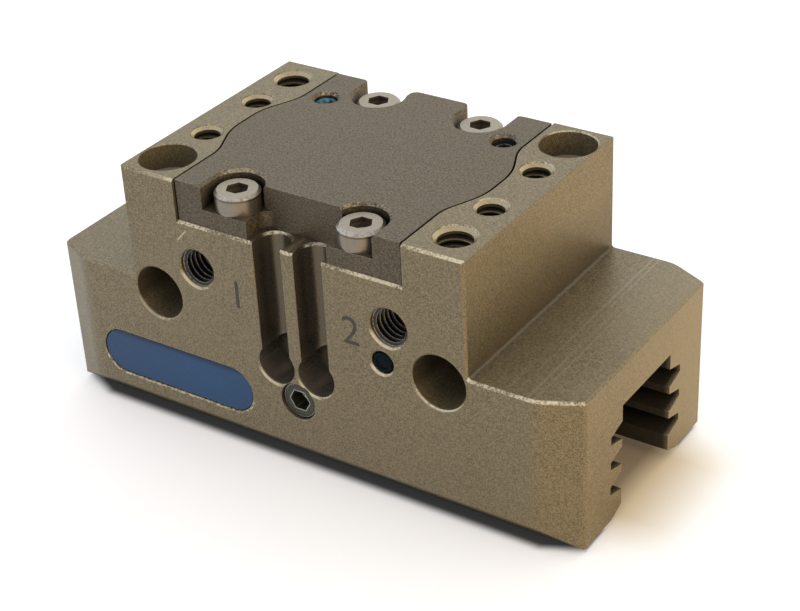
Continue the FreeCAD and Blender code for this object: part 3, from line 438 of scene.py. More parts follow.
def rim_glint(t, x, y, z, centre_x, centre_z, r):
    """A painted highlight: a bright crescent on the lower left rims of a pair of holes in the front
    face.
    """
    dx = maths(t, "SUBTRACT", x, times(t, maths(t, "SIGN", x), centre_x * MM))
    dz = counted_from(t, z, centre_z)
    low_left = weighed(t, dx, dz, -0.45, -0.89)
    return times(t, between(t, length_of(t, dx, dz), r - 0.06, r + 0.3, 0.06),
                 rise(t, low_left, 0.72 * r, 0.95 * r),
                 fall(t, y, FACE_Y + 0.3, FACE_Y + 0.4))


def front_glints(t, x, y, z):
    """Painted highlights on the lower left rims of the air ports, slot feet, side bores and the
    plugged hole on the right.
    """
    ports = rim_glint(t, x, y, z, PORT_X, PORT_Z, PORT_R)
    feet = rim_glint(t, x, y, z, SLOT_X, SLOT_FOOT_Z, SLOT_FOOT_R)
    bores = rim_glint(t, x, y, z, PATTERN_X, SIDE_BORE_Z, SEAT_R)
    plug = times(t, rim_glint(t, x, y, z, PLUG_X, PLUG_Z, PLUG_R), rise(t, x, 0.0, 1.0))
    return largest(t, times(t, ports, 0.75), times(t, feet, 0.7), times(t, bores, 0.3),
                   times(t, plug, 0.8))


def scratch(t, x, y, z):
    """A short bright scratch on the front face, left of the left air port."""
    start_x, start_z, slope = -16.14, 27.71, math.radians(48)
    length, half_width = 2.1, 0.06
    dx, dz = counted_from(t, x, start_x), counted_from(t, z, start_z)
    along = weighed(t, dx, dz, math.cos(slope), math.sin(slope))
    across = weighed(t, dz, dx, math.cos(slope), -math.sin(slope))
    return times(t, between(t, along, 0.0, length, 0.2),
                 fall(t, absolute(t, across), half_width, 2 * half_width),
                 fall(t, y, FACE_Y + 0.02, FACE_Y + 0.04))


def plate_rim(t, x, y, z):
    """Rubbed specks on the rim of the plate's recess, along its lower side."""
    straight = counted_from(t, absolute(t, counted_from(t, x, PLATE_X)), PLATE_HALF - PLATE_R)
    dz = counted_from(t, z, PLATE_Z)
    away = length_of(t, maths(t, "MAXIMUM", straight, 0.0), dz)
    specks = ramp(t, object_noise(t, 3000.0), 0.44, 0.54)
    return times(t, between(t, away, PLATE_R - 0.05, PLATE_R + 0.45, 0.05), fall(t, dz, -1.4, -0.6),
                 specks, fall(t, y, FACE_Y + 0.3, FACE_Y + 0.5))


def housing_faces(t, x, y, z, normal_x, normal_z, grain):
    """The housing's grain and clouds, with painted shade on the tower's sides, painted light on the
    far right corner, and tool marks on the shoulders.
    """
    colour = mix_colour(t, ramp(t, grain.outputs["Grain"], 0.39, 0.61), HOUSING_DARK, HOUSING_LIGHT)
    cloud = ramp(t, grain.outputs["Cloud"], 0.35, 0.75, 0.0, 0.3)
    colour = mix_colour(t, cloud, colour, HOUSING_CLOUD)
    # Painted shade: the tower's sides turn browner and darker down to the shoulders.
    side = times(t, ramp(t, absolute(t, normal_x), 0.8, 0.95),
                 fall(t, absolute(t, x), TOWER_X + 1.0, TOWER_X + 2.0),
                 fall(t, z, SHOULDER_Z, SHOULDER_Z + 9.0), 0.55)
    colour = mix_colour(t, side, colour, TOWER_SHADE)
    # Painted light: the far right corner is paler.
    far = times(t, rise(t, x, 26.0, 36.0), rise(t, y, -6.0, 14.0))
    colour = mix_colour(t, times(t, far, 0.35), colour, FAR_CORNER_LIGHT)
    # The shoulders carry faint cool lines, fainter on the left one.
    marks = place_group(t, TOOL_MARKS, Across_X=2400.0, Across_Y=16.0, Across_Z=100.0)
    lines = times(t, ramp(t, marks.outputs["Lines"], 0.52, 0.66), ramp(t, normal_z, 0.9, 0.99),
                  fall(t, z, SHOULDER_Z + 0.4, SHOULDER_Z + 1.0),
                  between(t, absolute(t, x), 28.5, 32.5, 1.5),
                  ramp(t, x, -1.0 * MM, 1.0 * MM, 0.45, 1.0))
    return mix_colour(t, times(t, lines, 0.3), colour, SHOULDER_LINES)


def housing_hollows(t, colour, x, y, z):
    """The colour with browner sensor slots, painted light on their feet and painted shade up their
    walls, darker tight corners, painted shade deep in hollows and in the ports, bores and channel, and
    the masks of the slots, of all that is deep, and of the channel."""
    in_slot = slot_region(t, x, y, z)
    # Painted light on the slots' feet and painted shade higher up their browner walls.
    slot_shading = mix_colour(t, rise(t, z, SLOT_FOOT_Z - 0.5, SLOT_FOOT_Z + 3.0), SLOT_FOOT_LIGHT, SLOT_WALL_SHADE)
    colour = mix_colour(t, times(t, in_slot, 0.85), colour, slot_shading)
    # Darker in tight corners.
    tight_corners = place_group(t, HOLLOW, Reach=0.0018, Open=0.8)
    plain = mix_colour(t, times(t, tight_corners.outputs[0], 0.65), colour, HOUSING_CORNER_TONE)
    # Painted shade deep in the hollows; the slots get most of it back below.
    colour, deep = painted_deep_shade(t, plain)
    colour = mix_colour(t, times(t, in_slot, 0.75), colour, plain)
    in_ports, in_bores = front_bores(t, x, y, z)
    # Painted shade inside the air ports and side bores.
    colour = mix_colour(t, times(t, in_ports, 0.95), colour, PORT_SHADE)
    colour = mix_colour(t, times(t, in_bores, 0.95), colour, BORE_SHADE)
    # Painted shade in the channel under the shoulders.
    channel = in_channel(t, x, y, z)
    return mix_colour(t, times(t, channel, 0.85), colour, DEEP_SHADE), in_slot, deep, channel


def shaded_edges(t, x, z, normal_z):
    """1 on the breaks of the lower edges and in the corners at the tower's foot, where painted shade
    goes.
    """
    low_break = times(t, band(t, normal_z, -0.95, -0.2, 0.03), fall(t, z, 1.2, 1.3))
    foot = times(t, between(t, absolute(t, x), TOWER_X + 0.02, TOWER_X + 0.45, 0.02),
                 between(t, z, SHOULDER_Z + 0.01, SHOULDER_Z + 0.45, 0.02))
    return largest(t, low_break, foot)


def housing_wear_and_glints(t, x, y, z, deep, channel):
    """Rubbed edges with a painted highlight, less so on the tower's left and its shoulder, painted
    highlights on hole rims, rubbed specks at the plate's recess, and the scratch.
    """
    left_low = times(t, fall(t, x, -TOWER_X - 0.5, -TOWER_X + 0.5),
                     fall(t, z, SHOULDER_Z + 0.7, SHOULDER_Z + 1.2), 0.75)
    left_top = times(t, fall(t, x, -17.5, -16.5), rise(t, z, TOP_Z - 1.5, TOP_Z - 1.0), 0.5)
    front = maths(t, "SUBTRACT", rest_of(t, left_low), left_top)
    wear_and_glint = place_group(t, EDGE_WEAR_AND_GLINT, Width=0.00026, Front=front, Any=0.05, Speckle=3300.0, Amount=0.56)
    edges = times(t, wear_and_glint.outputs[0], rest_of(t, deep), rest_of(t, channel))
    return largest(t, edges, times(t, scratch(t, x, y, z), 0.55), front_glints(t, x, y, z),
                   times(t, plate_rim(t, x, y, z), 0.7))


def anodised_housing():
    """Hard-anodised bronze grey with grain, worn edges with painted highlights, shoulder tool marks,
    browner slots, and painted shade and painted light.
    """
    material, t, shader = new_material("housing_anodised")
    place = add(t, "ShaderNodeTexCoord")
    x, y, z = split(t, place.outputs["Object"])
    normal = split(t, place.outputs["Normal"])
    grain = place_group(t, GRAIN, Size=0.00019, Depth=0.000009)
    colour = housing_faces(t, x, y, z, normal[X], normal[Z], grain)
    colour, in_slot, deep, channel = housing_hollows(t, colour, x, y, z)
    # Painted shade on the lower edges' breaks and at the tower's foot.
    colour = mix_colour(t, times(t, shaded_edges(t, x, z, normal[Z]), 0.6), colour, EDGE_SHADE)
    # Painted light on the seats' floors.
    colour = mix_colour(t, times(t, seat_floors(t, x, y, z), 0.8), colour, SEAT_FLOOR_LIGHT)
    # Wear with painted highlights, and painted glints on hole rims.
    colour = mix_colour(t, housing_wear_and_glints(t, x, y, z, deep, channel), colour, ANODISING_WEAR_AND_GLINT)
    rough = ramp(t, grain.outputs["Grain"], 0.2, 0.8, 0.38, 0.50)
    rough = maths(t, "SUBTRACT", rough, times(t, in_slot, 0.2))
    finish(t, shader, colour, rough, grain.outputs["Normal"])
    wire(t, ramp(t, in_slot, 0.0, 1.0, 0.45, 0.7), shader.inputs["Metallic"])
    return material


def anodised_cover():
    """The cover's darker, greyer anodising, with painted shade darkest on its front faces."""
    material, t, shader = new_material("cover_anodised")
    grain = place_group(t, GRAIN, Size=0.00024, Depth=0.000008)
    colour = mix_colour(t, ramp(t, grain.outputs["Grain"], 0.39, 0.61), COVER_DARK, COVER_LIGHT)
    normal = split(t, add(t, "ShaderNodeTexCoord").outputs["Normal"])
    # Painted shade on the front faces.
    colour = mix_colour(t, ramp(t, normal[Y], -0.5, -0.9, 0.0, 0.25), colour, COVER_FRONT_SHADE)
    # Darker in tight corners.
    tight_corners = place_group(t, HOLLOW, Reach=0.0016, Open=0.85)
    colour = mix_colour(t, times(t, tight_corners.outputs[0], 0.75), colour, COVER_CORNER_TONE)
    # Painted shade deep in the hollows.
    colour = painted_deep_shade(t, colour, 0.003)[0]
    # Worn edges with a painted highlight.
    wear_and_glint = place_group(t, EDGE_WEAR_AND_GLINT, Width=0.00014, Front=0.8, Any=0.15, Speckle=3400.0, Amount=0.5)
    colour = mix_colour(t, wear_and_glint.outputs[0], colour, COVER_WEAR_AND_GLINT)
    rough = ramp(t, grain.outputs["Grain"], 0.2, 0.8, 0.42, 0.54)
    finish(t, shader, colour, rough, grain.outputs["Normal"], 0.5)
    return material


def bare_metal(name, dark, light, rough, metallic=1.0, wear_and_glint=(0.75, 0.74, 0.70), marks=None,
               amount=0.45, front=0.8, any_edge=0.5, corner_share=0.5, hollow=0.0015, is_open=0.5,
               shut=0.12, painted_depth_tone=DEEP_SHADE):
    """A bare or blackened metal: grain or tool marks, darker tight corners, painted shade deep in its
    hollows (painted light where the tone given is lighter), brighter worn edges with a painted
    highlight.
    """
    material, t, shader = new_material(name)
    if marks:
        lines = place_group(t, TOOL_MARKS, Across_X=marks[X], Across_Y=marks[Y], Across_Z=marks[Z],
                            Depth=0.0000012)
        value, normal = lines.outputs["Lines"], lines.outputs["Normal"]
    else:
        grain = place_group(t, GRAIN, Size=0.0002, Depth=0.0000015)
        value, normal = grain.outputs["Grain"], grain.outputs["Normal"]
    colour = mix_colour(t, ramp(t, value, 0.3, 0.7), dark, light)
    # Darker in tight corners.
    tight_corners = place_group(t, HOLLOW, Reach=0.0008, Open=0.75)
    colour = mix_colour(t, times(t, tight_corners.outputs[0], corner_share), colour, METAL_CORNER_TONE)
    # A painted tone deep in the hollows: shade, and light in the small and grease screws' sockets.
    colour, deep = painted_deep_shade(t, colour, hollow, is_open, shut, painted_depth_tone)
    # Worn edges with a painted highlight.
    worn = place_group(t, EDGE_WEAR_AND_GLINT, Width=0.0002, Front=front, Any=any_edge, Speckle=3600.0,
                       Amount=amount)
    colour = mix_colour(t, times(t, worn.outputs[0], rest_of(t, deep)), colour, wear_and_glint)
    finish(t, shader, colour, ramp(t, value, 0.3, 0.7, rough - 0.05, rough + 0.07), normal, metallic)
    return material


def screw_steel():
    """Satin steel of the cap screws, with painted shade on the heads' sides, a darker brown ring under
    the head's rim, and painted light deep in the sockets.
    """
    material, t, shader = new_material("screw_steel")
    place = add(t, "ShaderNodeTexCoord")
    z = split(t, place.outputs["Object"])[Z]
    grain = place_group(t, GRAIN, Size=0.0002, Depth=0.0000015)
    colour = mix_colour(t, ramp(t, grain.outputs["Grain"], 0.3, 0.7), SCREW_DARK, SCREW_LIGHT)
    # Painted shade on the heads' sides and socket walls.
    side = ramp(t, split(t, place.outputs["Normal"])[Z], 0.3, 0.1)
    colour = mix_colour(t, times(t, side, 0.5), colour, SCREW_SIDE_SHADE)
    ring = times(t, between(t, z, COVER_SCREW_TOP - 0.62, COVER_SCREW_TOP - 0.22, 0.06), side)
    colour = mix_colour(t, times(t, ring, 0.8), colour, SCREW_RING)
    # Painted light deep in the hex sockets.
    deep = place_group(t, HOLLOW, Reach=0.0014, Open=0.75, Shut=0.25)
    colour = mix_colour(t, deep.outputs[0], colour, SCREW_SOCKET_LIGHT)
    # Worn edges with a painted highlight.
    worn = place_group(t, EDGE_WEAR_AND_GLINT, Width=0.00012, Front=0.8, Any=0.6, Speckle=3000.0, Amount=0.6)
    colour = mix_colour(t, worn.outputs[0], colour, SCREW_WEAR_AND_GLINT)
    rough = ramp(t, grain.outputs["Grain"], 0.3, 0.7, 0.30, 0.42)
    finish(t, shader, colour, rough, grain.outputs["Normal"], 0.9)
    return material


def blue_plate():
    """Blue printed foil with faint mottling, a painted shadow under its upper edge, and rubbed on its
    rim with a painted highlight.
    """
    material, t, shader = new_material("plate_blue")
    shader.inputs["Specular IOR Level"].default_value = 0.2
    z = split(t, add(t, "ShaderNodeTexCoord").outputs["Object"])[Z]
    grain = place_group(t, GRAIN, Size=0.0003, Depth=0.000002)
    colour = mix_colour(t, grain.outputs["Grain"], PLATE_DARK, PLATE_LIGHT)
    cloud = ramp(t, grain.outputs["Cloud"], 0.4, 0.8, 0.0, 0.5)
    colour = mix_colour(t, cloud, colour, PLATE_CLOUD)
    # Painted shadow of the recess's upper wall along the plate's top.
    plate_top = PLATE_Z + PLATE_R
    recess_shadow = rise(t, z, plate_top - 0.8, plate_top - 0.2)
    colour = mix_colour(t, times(t, recess_shadow, 0.8), colour, PLATE_SHADE)
    # Worn rim with a painted highlight.
    worn = place_group(t, EDGE_WEAR_AND_GLINT, Width=0.0002, Front=0.2, Any=0.3, Speckle=3500.0, Amount=0.4)
    colour = mix_colour(t, worn.outputs[0], colour, PLATE_WEAR_AND_GLINT)
    rough = ramp(t, grain.outputs["Grain"], 0.2, 0.8, 0.32, 0.46)
    finish(t, shader, colour, rough, grain.outputs["Normal"])
    return material


def soft_black(name, dark, light, rough):
    """Rubber or filled plastic with a fine bloom."""
    material, t, shader = new_material(name)
    grain = place_group(t, GRAIN, Size=0.0003, Depth=0.000004)
    colour = mix_colour(t, grain.outputs["Grain"], dark, light)
    uneven = ramp(t, grain.outputs["Grain"], 0.2, 0.8, rough - 0.08, rough + 0.08)
    finish(t, shader, colour, uneven, grain.outputs["Normal"])
    return material


def threadlock(name, dark, light, rough, sheen):
    """Dried blue threadlock, uneven in colour, with a weak sheen."""
    material, t, shader = new_material(name)
    shader.inputs["Specular IOR Level"].default_value = sheen
    grain = place_group(t, GRAIN, Size=0.0005, Depth=0.00004)
    mottle = ramp(t, grain.outputs["Grain"], 0.35, 0.65)
    uneven = ramp(t, grain.outputs["Grain"], 0.2, 0.8, rough - 0.1, rough + 0.1)
    finish(t, shader, mix_colour(t, mottle, dark, light), uneven, grain.outputs["Normal"])
    return material


def engraving_dark():
    """Dark burr of an engraved line."""
    material, t, shader = new_material("engraving_dark")
    grain = place_group(t, GRAIN, Size=0.0003)
    burr = ramp(t, grain.outputs["Grain"], 0.3, 0.7)
    finish(t, shader, mix_colour(t, burr, (0.010, 0.008, 0.006), (0.045, 0.036, 0.022)),
           ramp(t, grain.outputs["Grain"], 0.2, 0.8, 0.45, 0.65))
    return material


HOUSING = anodised_housing()
COVER = anodised_cover()
SCREW = screw_steel()
# The small and grease screws get painted light deep in their sockets.
SMALL_SCREW = bare_metal("small_screw_steel", (0.035, 0.034, 0.029), (0.120, 0.115, 0.095), 0.38,
                         metallic=0.8, wear_and_glint=(0.50, 0.48, 0.42), amount=0.6, hollow=0.001,
                         painted_depth_tone=(0.20, 0.205, 0.17))
GREASE_SCREW = bare_metal("grease_screw_steel", (0.016, 0.018, 0.014), (0.090, 0.092, 0.076), 0.38,
                          metallic=0.8, wear_and_glint=(0.60, 0.58, 0.50), amount=0.72, front=0.9, any_edge=0.9,
                          hollow=0.001, painted_depth_tone=(0.10, 0.104, 0.085))
PISTON = bare_metal("piston_aluminium", (0.48, 0.48, 0.49), (0.62, 0.62, 0.63), 0.32,
                    marks=(40.0, 40.0, 9000.0))
MAGNET = bare_metal("magnet_plating", (0.60, 0.59, 0.56), (0.72, 0.71, 0.68), 0.16)
HOOK = bare_metal("hook_steel", (0.24, 0.24, 0.245), (0.36, 0.36, 0.36), 0.3,
                  marks=(900.0, 40.0, 900.0))
RETAINER = bare_metal("retainer_steel", (0.42, 0.42, 0.42), (0.55, 0.55, 0.54), 0.3)
JAW = bare_metal("jaw_steel", (0.20, 0.195, 0.185), (0.33, 0.325, 0.31), 0.3,
                 marks=(30.0, 2600.0, 2600.0), amount=0.5, hollow=0.006)
CENTRE = bare_metal("centre_cover_steel", (0.36, 0.36, 0.35), (0.50, 0.50, 0.48), 0.33,
                    marks=(2600.0, 60.0, 60.0))
# Painted shade deep in the threads' holes.
THREAD = bare_metal("thread_metal", (0.30, 0.25, 0.155), (0.46, 0.385, 0.25), 0.3, metallic=0.8,
                    wear_and_glint=(0.60, 0.50, 0.35), amount=0.5, front=0.15, any_edge=0.2, corner_share=0.3,
                    hollow=0.006, is_open=0.58, shut=0.16, painted_depth_tone=(0.060, 0.048, 0.028))
# Painted shade: the port and side bore threads are dark all over, their edges lighter as a painted
# highlight.
PORT_THREAD_SHADED = bare_metal("port_thread_shaded_metal", (0.020, 0.018, 0.016), (0.050, 0.045, 0.038), 0.3,
                         metallic=0.9, wear_and_glint=(0.34, 0.30, 0.25), front=0.0, any_edge=0.9, amount=0.62,
                         hollow=0.0035, is_open=0.56, shut=0.30, painted_depth_tone=(0.010, 0.010, 0.012))
RUBBER = soft_black("seal_rubber", (0.02, 0.02, 0.02), (0.045, 0.045, 0.045), 0.5)
GUIDE_PLASTIC = soft_black("guide_ring_plastic", (0.12, 0.09, 0.06), (0.20, 0.16, 0.11), 0.55)
PLATE = blue_plate()
LOCK_CYAN = threadlock("threadlock_cyan", (0.002, 0.012, 0.016), (0.045, 0.18, 0.25), 0.4, 0.2)
LOCK_NAVY = threadlock("threadlock_navy", (0.001, 0.002, 0.003), (0.003, 0.009, 0.012), 0.6, 0.06)
ENGRAVED = engraving_dark()

NODE_MATERIAL = {
    "housing": HOUSING, "cover_plate": COVER, "cover_seal": RUBBER, "cover_screws": SCREW,
    "cover_port_screws": SMALL_SCREW, "channel_plug_screw": SMALL_SCREW,
    "grease_port_screw": GREASE_SCREW, "name_plate": PLATE,
    "piston": PISTON, "piston_seal": RUBBER, "piston_guide_ring": GUIDE_PLASTIC,
    "piston_magnets": MAGNET, "piston_screw": SCREW, "wedge_hook": HOOK,
    "rod_seal": RUBBER, "rod_seal_retainer": RETAINER,
    "base_jaw_left": JAW, "base_jaw_right": JAW,
    "centre_cover": CENTRE, "centre_cover_screws": SMALL_SCREW,
}
for node_name, node_material in NODE_MATERIAL.items():
    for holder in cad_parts[node_name].material_slots:
        holder.material = node_material


# Modelling helpers

# Steps round a thread, its ridge's foot as a share of the pitch, and the crest as one of the foot
TURN_STEPS, RIDGE_FOOT, RIDGE_CREST = 36, 0.84, 0.26
# Letter size for a height of 1, and how far a stroke stands out, is thinned and is thick, in mm
LETTER_SIZE, STROKE_OUT, STROKE_THIN, STROKE_THICK = 1.38, 0.012, 0.03, 0.008
# How much of its thickness a bead and a drop of threadlock are roughened by
BEAD_ROUGH, DROP_ROUGH = 0.45, 0.28
# Turns that aim a piece made upright
AIM = {"up": (0.0, 0.0, 0.0), "back": (-90.0, 0.0, 0.0), "down": (180.0, 0.0, 0.0)}


def deselect():
    if bpy.context.object and bpy.context.object.mode != "OBJECT":
        bpy.ops.object.mode_set(mode="OBJECT")
    bpy.ops.object.select_all(action="DESELECT")


def edit():
    bpy.ops.object.mode_set(mode="EDIT")
    bpy.ops.mesh.select_mode(type="VERT")


def pick_vertices(obj, test):
    """Selects the vertices whose place passes the test, in edit mode."""
    bpy.ops.mesh.select_all(action="DESELECT")
    bpy.ops.object.mode_set(mode="OBJECT")
    for vertex in obj.data.vertices:
        vertex.select = test(vertex.co)
    bpy.ops.object.mode_set(mode="EDIT")


def settle(obj, name, material, body):
    """Applies the object's place to its mesh, names it and hands it to its body."""
    if obj.mode != "OBJECT":
        bpy.ops.object.mode_set(mode="OBJECT")
    bpy.ops.object.transform_apply(location=True, rotation=True, scale=True)
    obj.name = name
    obj.data.name = name
    obj.data.materials.clear()
    obj.data.materials.append(material)
    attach(obj, body)
    return obj


def section(width, height, out_x, z):
    """A rectangular section in the XZ plane, its outer side at out_x and its foot at z."""
    deselect()
    bpy.ops.mesh.primitive_plane_add(size=1.0, location=(0, 0, 0), rotation=(math.radians(90), 0, 0))
    plane = bpy.context.object
    plane.scale = (width, height, 1.0)
    plane.location = (out_x - width / 2, 0, z + height / 2)
    bpy.ops.object.transform_apply(location=True, rotation=True, scale=True)
    return plane


def wind(obj, pitch, turns):
    """Winds the section round Z: a closed ring where pitch is 0, and a helix otherwise."""
    screw = obj.modifiers.new("wind", "SCREW")
    screw.axis = "Z"
    screw.screw_offset = pitch
    screw.iterations = turns
    screw.steps = screw.render_steps = TURN_STEPS
    bpy.ops.object.modifier_apply(modifier="wind")
    edit()
    bpy.ops.mesh.select_all(action="SELECT")
    bpy.ops.mesh.remove_doubles(threshold=1e-7)
    if pitch:
        bpy.ops.mesh.fill_holes(sides=4)
        bpy.ops.mesh.select_all(action="SELECT")
    bpy.ops.mesh.normals_make_consistent(inside=False)
    bpy.ops.object.mode_set(mode="OBJECT")


def run_in_ring(r, depth, height):
    """The first stretch of a tapped hole: a cone from the thread's outer to its inner diameter,
    and a short plain wall below it."""
    ring = section(depth, height, r, 0.0)
    edit()
    pick_vertices(ring, lambda co: co.z < height / 2 and co.x < r - depth / 2)
    bpy.ops.transform.translate(value=(0, 0, depth))
    bpy.ops.object.mode_set(mode="OBJECT")
    wind(ring, 0.0, 1)
    return ring


def thread_ridge(name, place, into, thread, length, run_in=0.75, body="housing_body",
                 material=None):
    """The ridge of an internal thread, wound down a hole from its mouth at place (mm)."""
    pitch, r, depth = (thread[key] * MM for key in ("pitch", "r", "depth"))
    run_in = run_in * MM
    ring = run_in_ring(r, depth, run_in) if run_in else None
    ridge = section(depth, pitch * RIDGE_FOOT, r, run_in)
    edit()
    pick_vertices(ridge, lambda co: co.x < r - depth / 2)
    middle_z = run_in + pitch * RIDGE_FOOT / 2
    bpy.ops.transform.resize(value=(1.0, 1.0, RIDGE_CREST), center_override=(0, 0, middle_z))
    bpy.ops.object.mode_set(mode="OBJECT")
    wind(ridge, pitch, max(1, round(length * MM / pitch)))
    if ring:
        ring.select_set(True)
        bpy.ops.object.join()
    ridge.rotation_euler = [math.radians(a) for a in AIM[into]]
    ridge.location = [c * MM for c in place]
    bpy.ops.object.shade_smooth_by_angle(angle=math.radians(30))
    return settle(ridge, name, material or THREAD, body)


def engraved_number(text, name, x, z, height):
    """A plain number on the front face, as thin dark engraved strokes."""
    deselect()
    bpy.ops.object.text_add(rotation=(math.radians(90), 0, 0))
    number = bpy.context.object
    number.location = (x * MM, (FACE_Y - STROKE_OUT) * MM, z * MM)
    number.data.body = text
    number.data.size = height * LETTER_SIZE * MM
    number.data.align_x = "CENTER"
    number.data.align_y = "CENTER"
    number.data.offset = -STROKE_THIN * MM
    number.data.extrude = STROKE_THICK * MM
    bpy.ops.object.convert(target="MESH")
    return settle(bpy.context.object, name, ENGRAVED, "housing_body")


def threadlock_bead(name, place, into, r, thick, material, seed):
    """A bead of dried threadlock round a set screw: a torus, roughened and smoothed."""
    deselect()
    bpy.ops.mesh.primitive_torus_add(major_radius=r * MM, minor_radius=thick * MM,
                                     major_segments=28, minor_segments=8)
    bead = bpy.context.object
    edit()
    bpy.ops.mesh.select_all(action="SELECT")
    bpy.ops.transform.vertex_random(offset=thick * BEAD_ROUGH * MM, seed=seed)
    bpy.ops.object.mode_set(mode="OBJECT")
    smooth = bead.modifiers.new("smooth", "SUBSURF")
    smooth.levels = smooth.render_levels = 2
    bpy.ops.object.modifier_apply(modifier="smooth")
    bead.rotation_euler = [math.radians(a) for a in AIM[into]]
    bead.location = [c * MM for c in place]
    bpy.ops.object.shade_smooth()
    return settle(bead, name, material, "housing_body")


def threadlock_drop(name, place, size, material, seed):
    """A flat, lumpy drop of threadlock: a ball pressed down and roughened."""
    deselect()
    bpy.ops.mesh.primitive_ico_sphere_add(subdivisions=3, radius=1.0, location=(0, 0, 0))
    drop = bpy.context.object
    drop.scale = [s * MM for s in size]
    bpy.ops.object.transform_apply(location=True, rotation=True, scale=True)
    edit()
    bpy.ops.mesh.select_all(action="SELECT")
    bpy.ops.transform.vertex_random(offset=min(size) * DROP_ROUGH * MM, seed=seed)
    bpy.ops.object.mode_set(mode="OBJECT")
    smooth = drop.modifiers.new("smooth", "SUBSURF")
    smooth.levels = smooth.render_levels = 1
    bpy.ops.object.modifier_apply(modifier="smooth")
    drop.location = [c * MM for c in place]
    bpy.ops.object.shade_smooth()
    return settle(drop, name, material, "housing_body")


# The scene's own pieces

# How far under their mouths the threads start, and where the finger threads of the jaws start, in mm
PORT_START, TOP_START, SEAT_START, BORE_START = 0.22, 0.12, 0.05, 0.2
FINGER_START_Z = 1.62

for side, tag in ((-1, "left"), (1, "right")):
    pattern_x = side * PATTERN_X
    thread_ridge("air_port_thread_" + tag, (side * PORT_X, FACE_Y + PORT_START, PORT_Z), "back", M5,
                 length=4.8, run_in=0.0, material=PORT_THREAD_SHADED)
    thread_ridge("mounting_thread_" + tag, (pattern_x, side * -PATTERN_Y, TOP_Z - TOP_START), "down",
                 M5, length=9.6)
    thread_ridge("seat_thread_" + tag, (pattern_x, side * PATTERN_Y, TOP_Z - SEAT_DEPTH - SEAT_START),
                 "down", M4, length=4.9, run_in=0.0)
    thread_ridge("side_bore_thread_" + tag,
                 (pattern_x, FACE_Y + SIDE_BORE_DEPTH + BORE_START, SIDE_BORE_Z), "back", M5,
                 length=4.0, run_in=0.0, material=PORT_THREAD_SHADED)
    for y, row in ((-INNER_Y, "front"), (INNER_Y, "back")):
        thread_ridge("inner_thread_%s_%s" % (tag, row), (pattern_x, y, TOP_Z - TOP_START), "down", M4,
                     length=7.7)
    for x, length, row in zip(FINGER_X, (2.1, 6.3), ("inner", "outer")):
        thread_ridge("finger_thread_%s_%s" % (tag, row), (side * x, 0.0, FINGER_START_Z), "up", M4,
                     length=length, run_in=0.6, body=tag + "_jaw", material=JAW)

engraved_number("1", "port_number_1", x=-7.8, z=22.3, height=3.9)
engraved_number("2", "port_number_2", x=8.5, z=22.3, height=3.9)
threadlock_drop("threadlock_left_port", (-COVER_PORT_X - 0.45, COVER_PORT_Y, COVER_PORT_TOP + 0.1),
                size=(0.85, 1.1, 0.4), material=LOCK_CYAN, seed=3)
threadlock_bead("threadlock_left_port_rim", (-COVER_PORT_X, COVER_PORT_Y, COVER_PORT_TOP), "up",
                r=1.15, thick=0.3, material=LOCK_CYAN, seed=4)
threadlock_bead("threadlock_right_port", (COVER_PORT_X, COVER_PORT_Y, COVER_PORT_TOP - 0.05), "up",
                r=1.2, thick=0.22, material=LOCK_NAVY, seed=6)
threadlock_bead("threadlock_plug_rim", (PLUG_X, PLUG_Y + 0.02, PLUG_Z), "back",
                r=1.1, thick=0.3, material=LOCK_NAVY, seed=5)
threadlock_drop("threadlock_plug", (PLUG_X, PLUG_Y + 0.12, PLUG_Z),
                size=(1.15, 0.28, 1.15), material=LOCK_NAVY, seed=7)


# Floor, light and camera

# The floor's tones: white, a painted warm reflection, and tan and brown painted shadow
TABLE = (0.87, 0.88, 0.90)
TABLE_WARM_REFLECTION = (1.0, 0.84, 0.62)
TABLE_TAN_SHADOW = (0.60, 0.50, 0.34)
TABLE_BROWN_SHADOW = (0.26, 0.20, 0.13)
FLOOR_GLOW = 0.25
WORLD_LIGHT = (0.60, 0.60, 0.60)
WORLD_SIDES = [
    (X, -1.0, (0.22, 0.30, 0.40)),
    (Y, -1.0, (0.16, 0.17, 0.20)),
    (Y, 1.0, (0.78, 0.76, 0.62)),
    (Z, 1.0, (0.36, 0.33, 0.31)),
]
WARM_RIGHT = dict(place=(0.62, -0.12, 0.22), aim=(0, 0, 0.02), size=(0.4, 0.3), power=1.9,
                  colour=(1.0, 0.68, 0.30))
CAMERA_LENS = 82.93
CAMERA_PLACE = Vector((115.19, -159.47, 133.41))
CAMERA_FORWARD = Vector((-0.49027, 0.70033, -0.51882))
CAMERA_UP = Vector((-0.25253, 0.45559, 0.85362))


def floor_out_of_painted_shadow(t, across, along):
    """A painted contact shadow: 1 on the open floor and near 0 in the gap under the housing's two
    legs, which is darkest in front, with a soft edge."""
    side, depth = absolute(t, across), absolute(t, along)
    slant = math.hypot(CORNER_X, CORNER_Y)
    corner = weighed(t, counted_from(t, side, END_X - CORNER_X), counted_from(t, depth, -FACE_Y),
                     CORNER_Y / slant, CORNER_X / slant)
    leg = counted_from(t, absolute(t, counted_from(t, depth, LEG_Y)), LEG_HALF)
    end = times(t, counted_from(t, side, END_X), 3.0)
    # Painted contact shadow, darkest in the gap under the legs.
    unshadowed = ramp(t, largest(t, leg, corner, end), -1.9 * MM, -0.2 * MM, 0.07, 1.0)
    unshadowed.node.interpolation_type = "SMOOTHSTEP"
    return largest(t, unshadowed, ramp(t, along, -CHANNEL_Y * MM, 0.0, 0.0, 0.4))


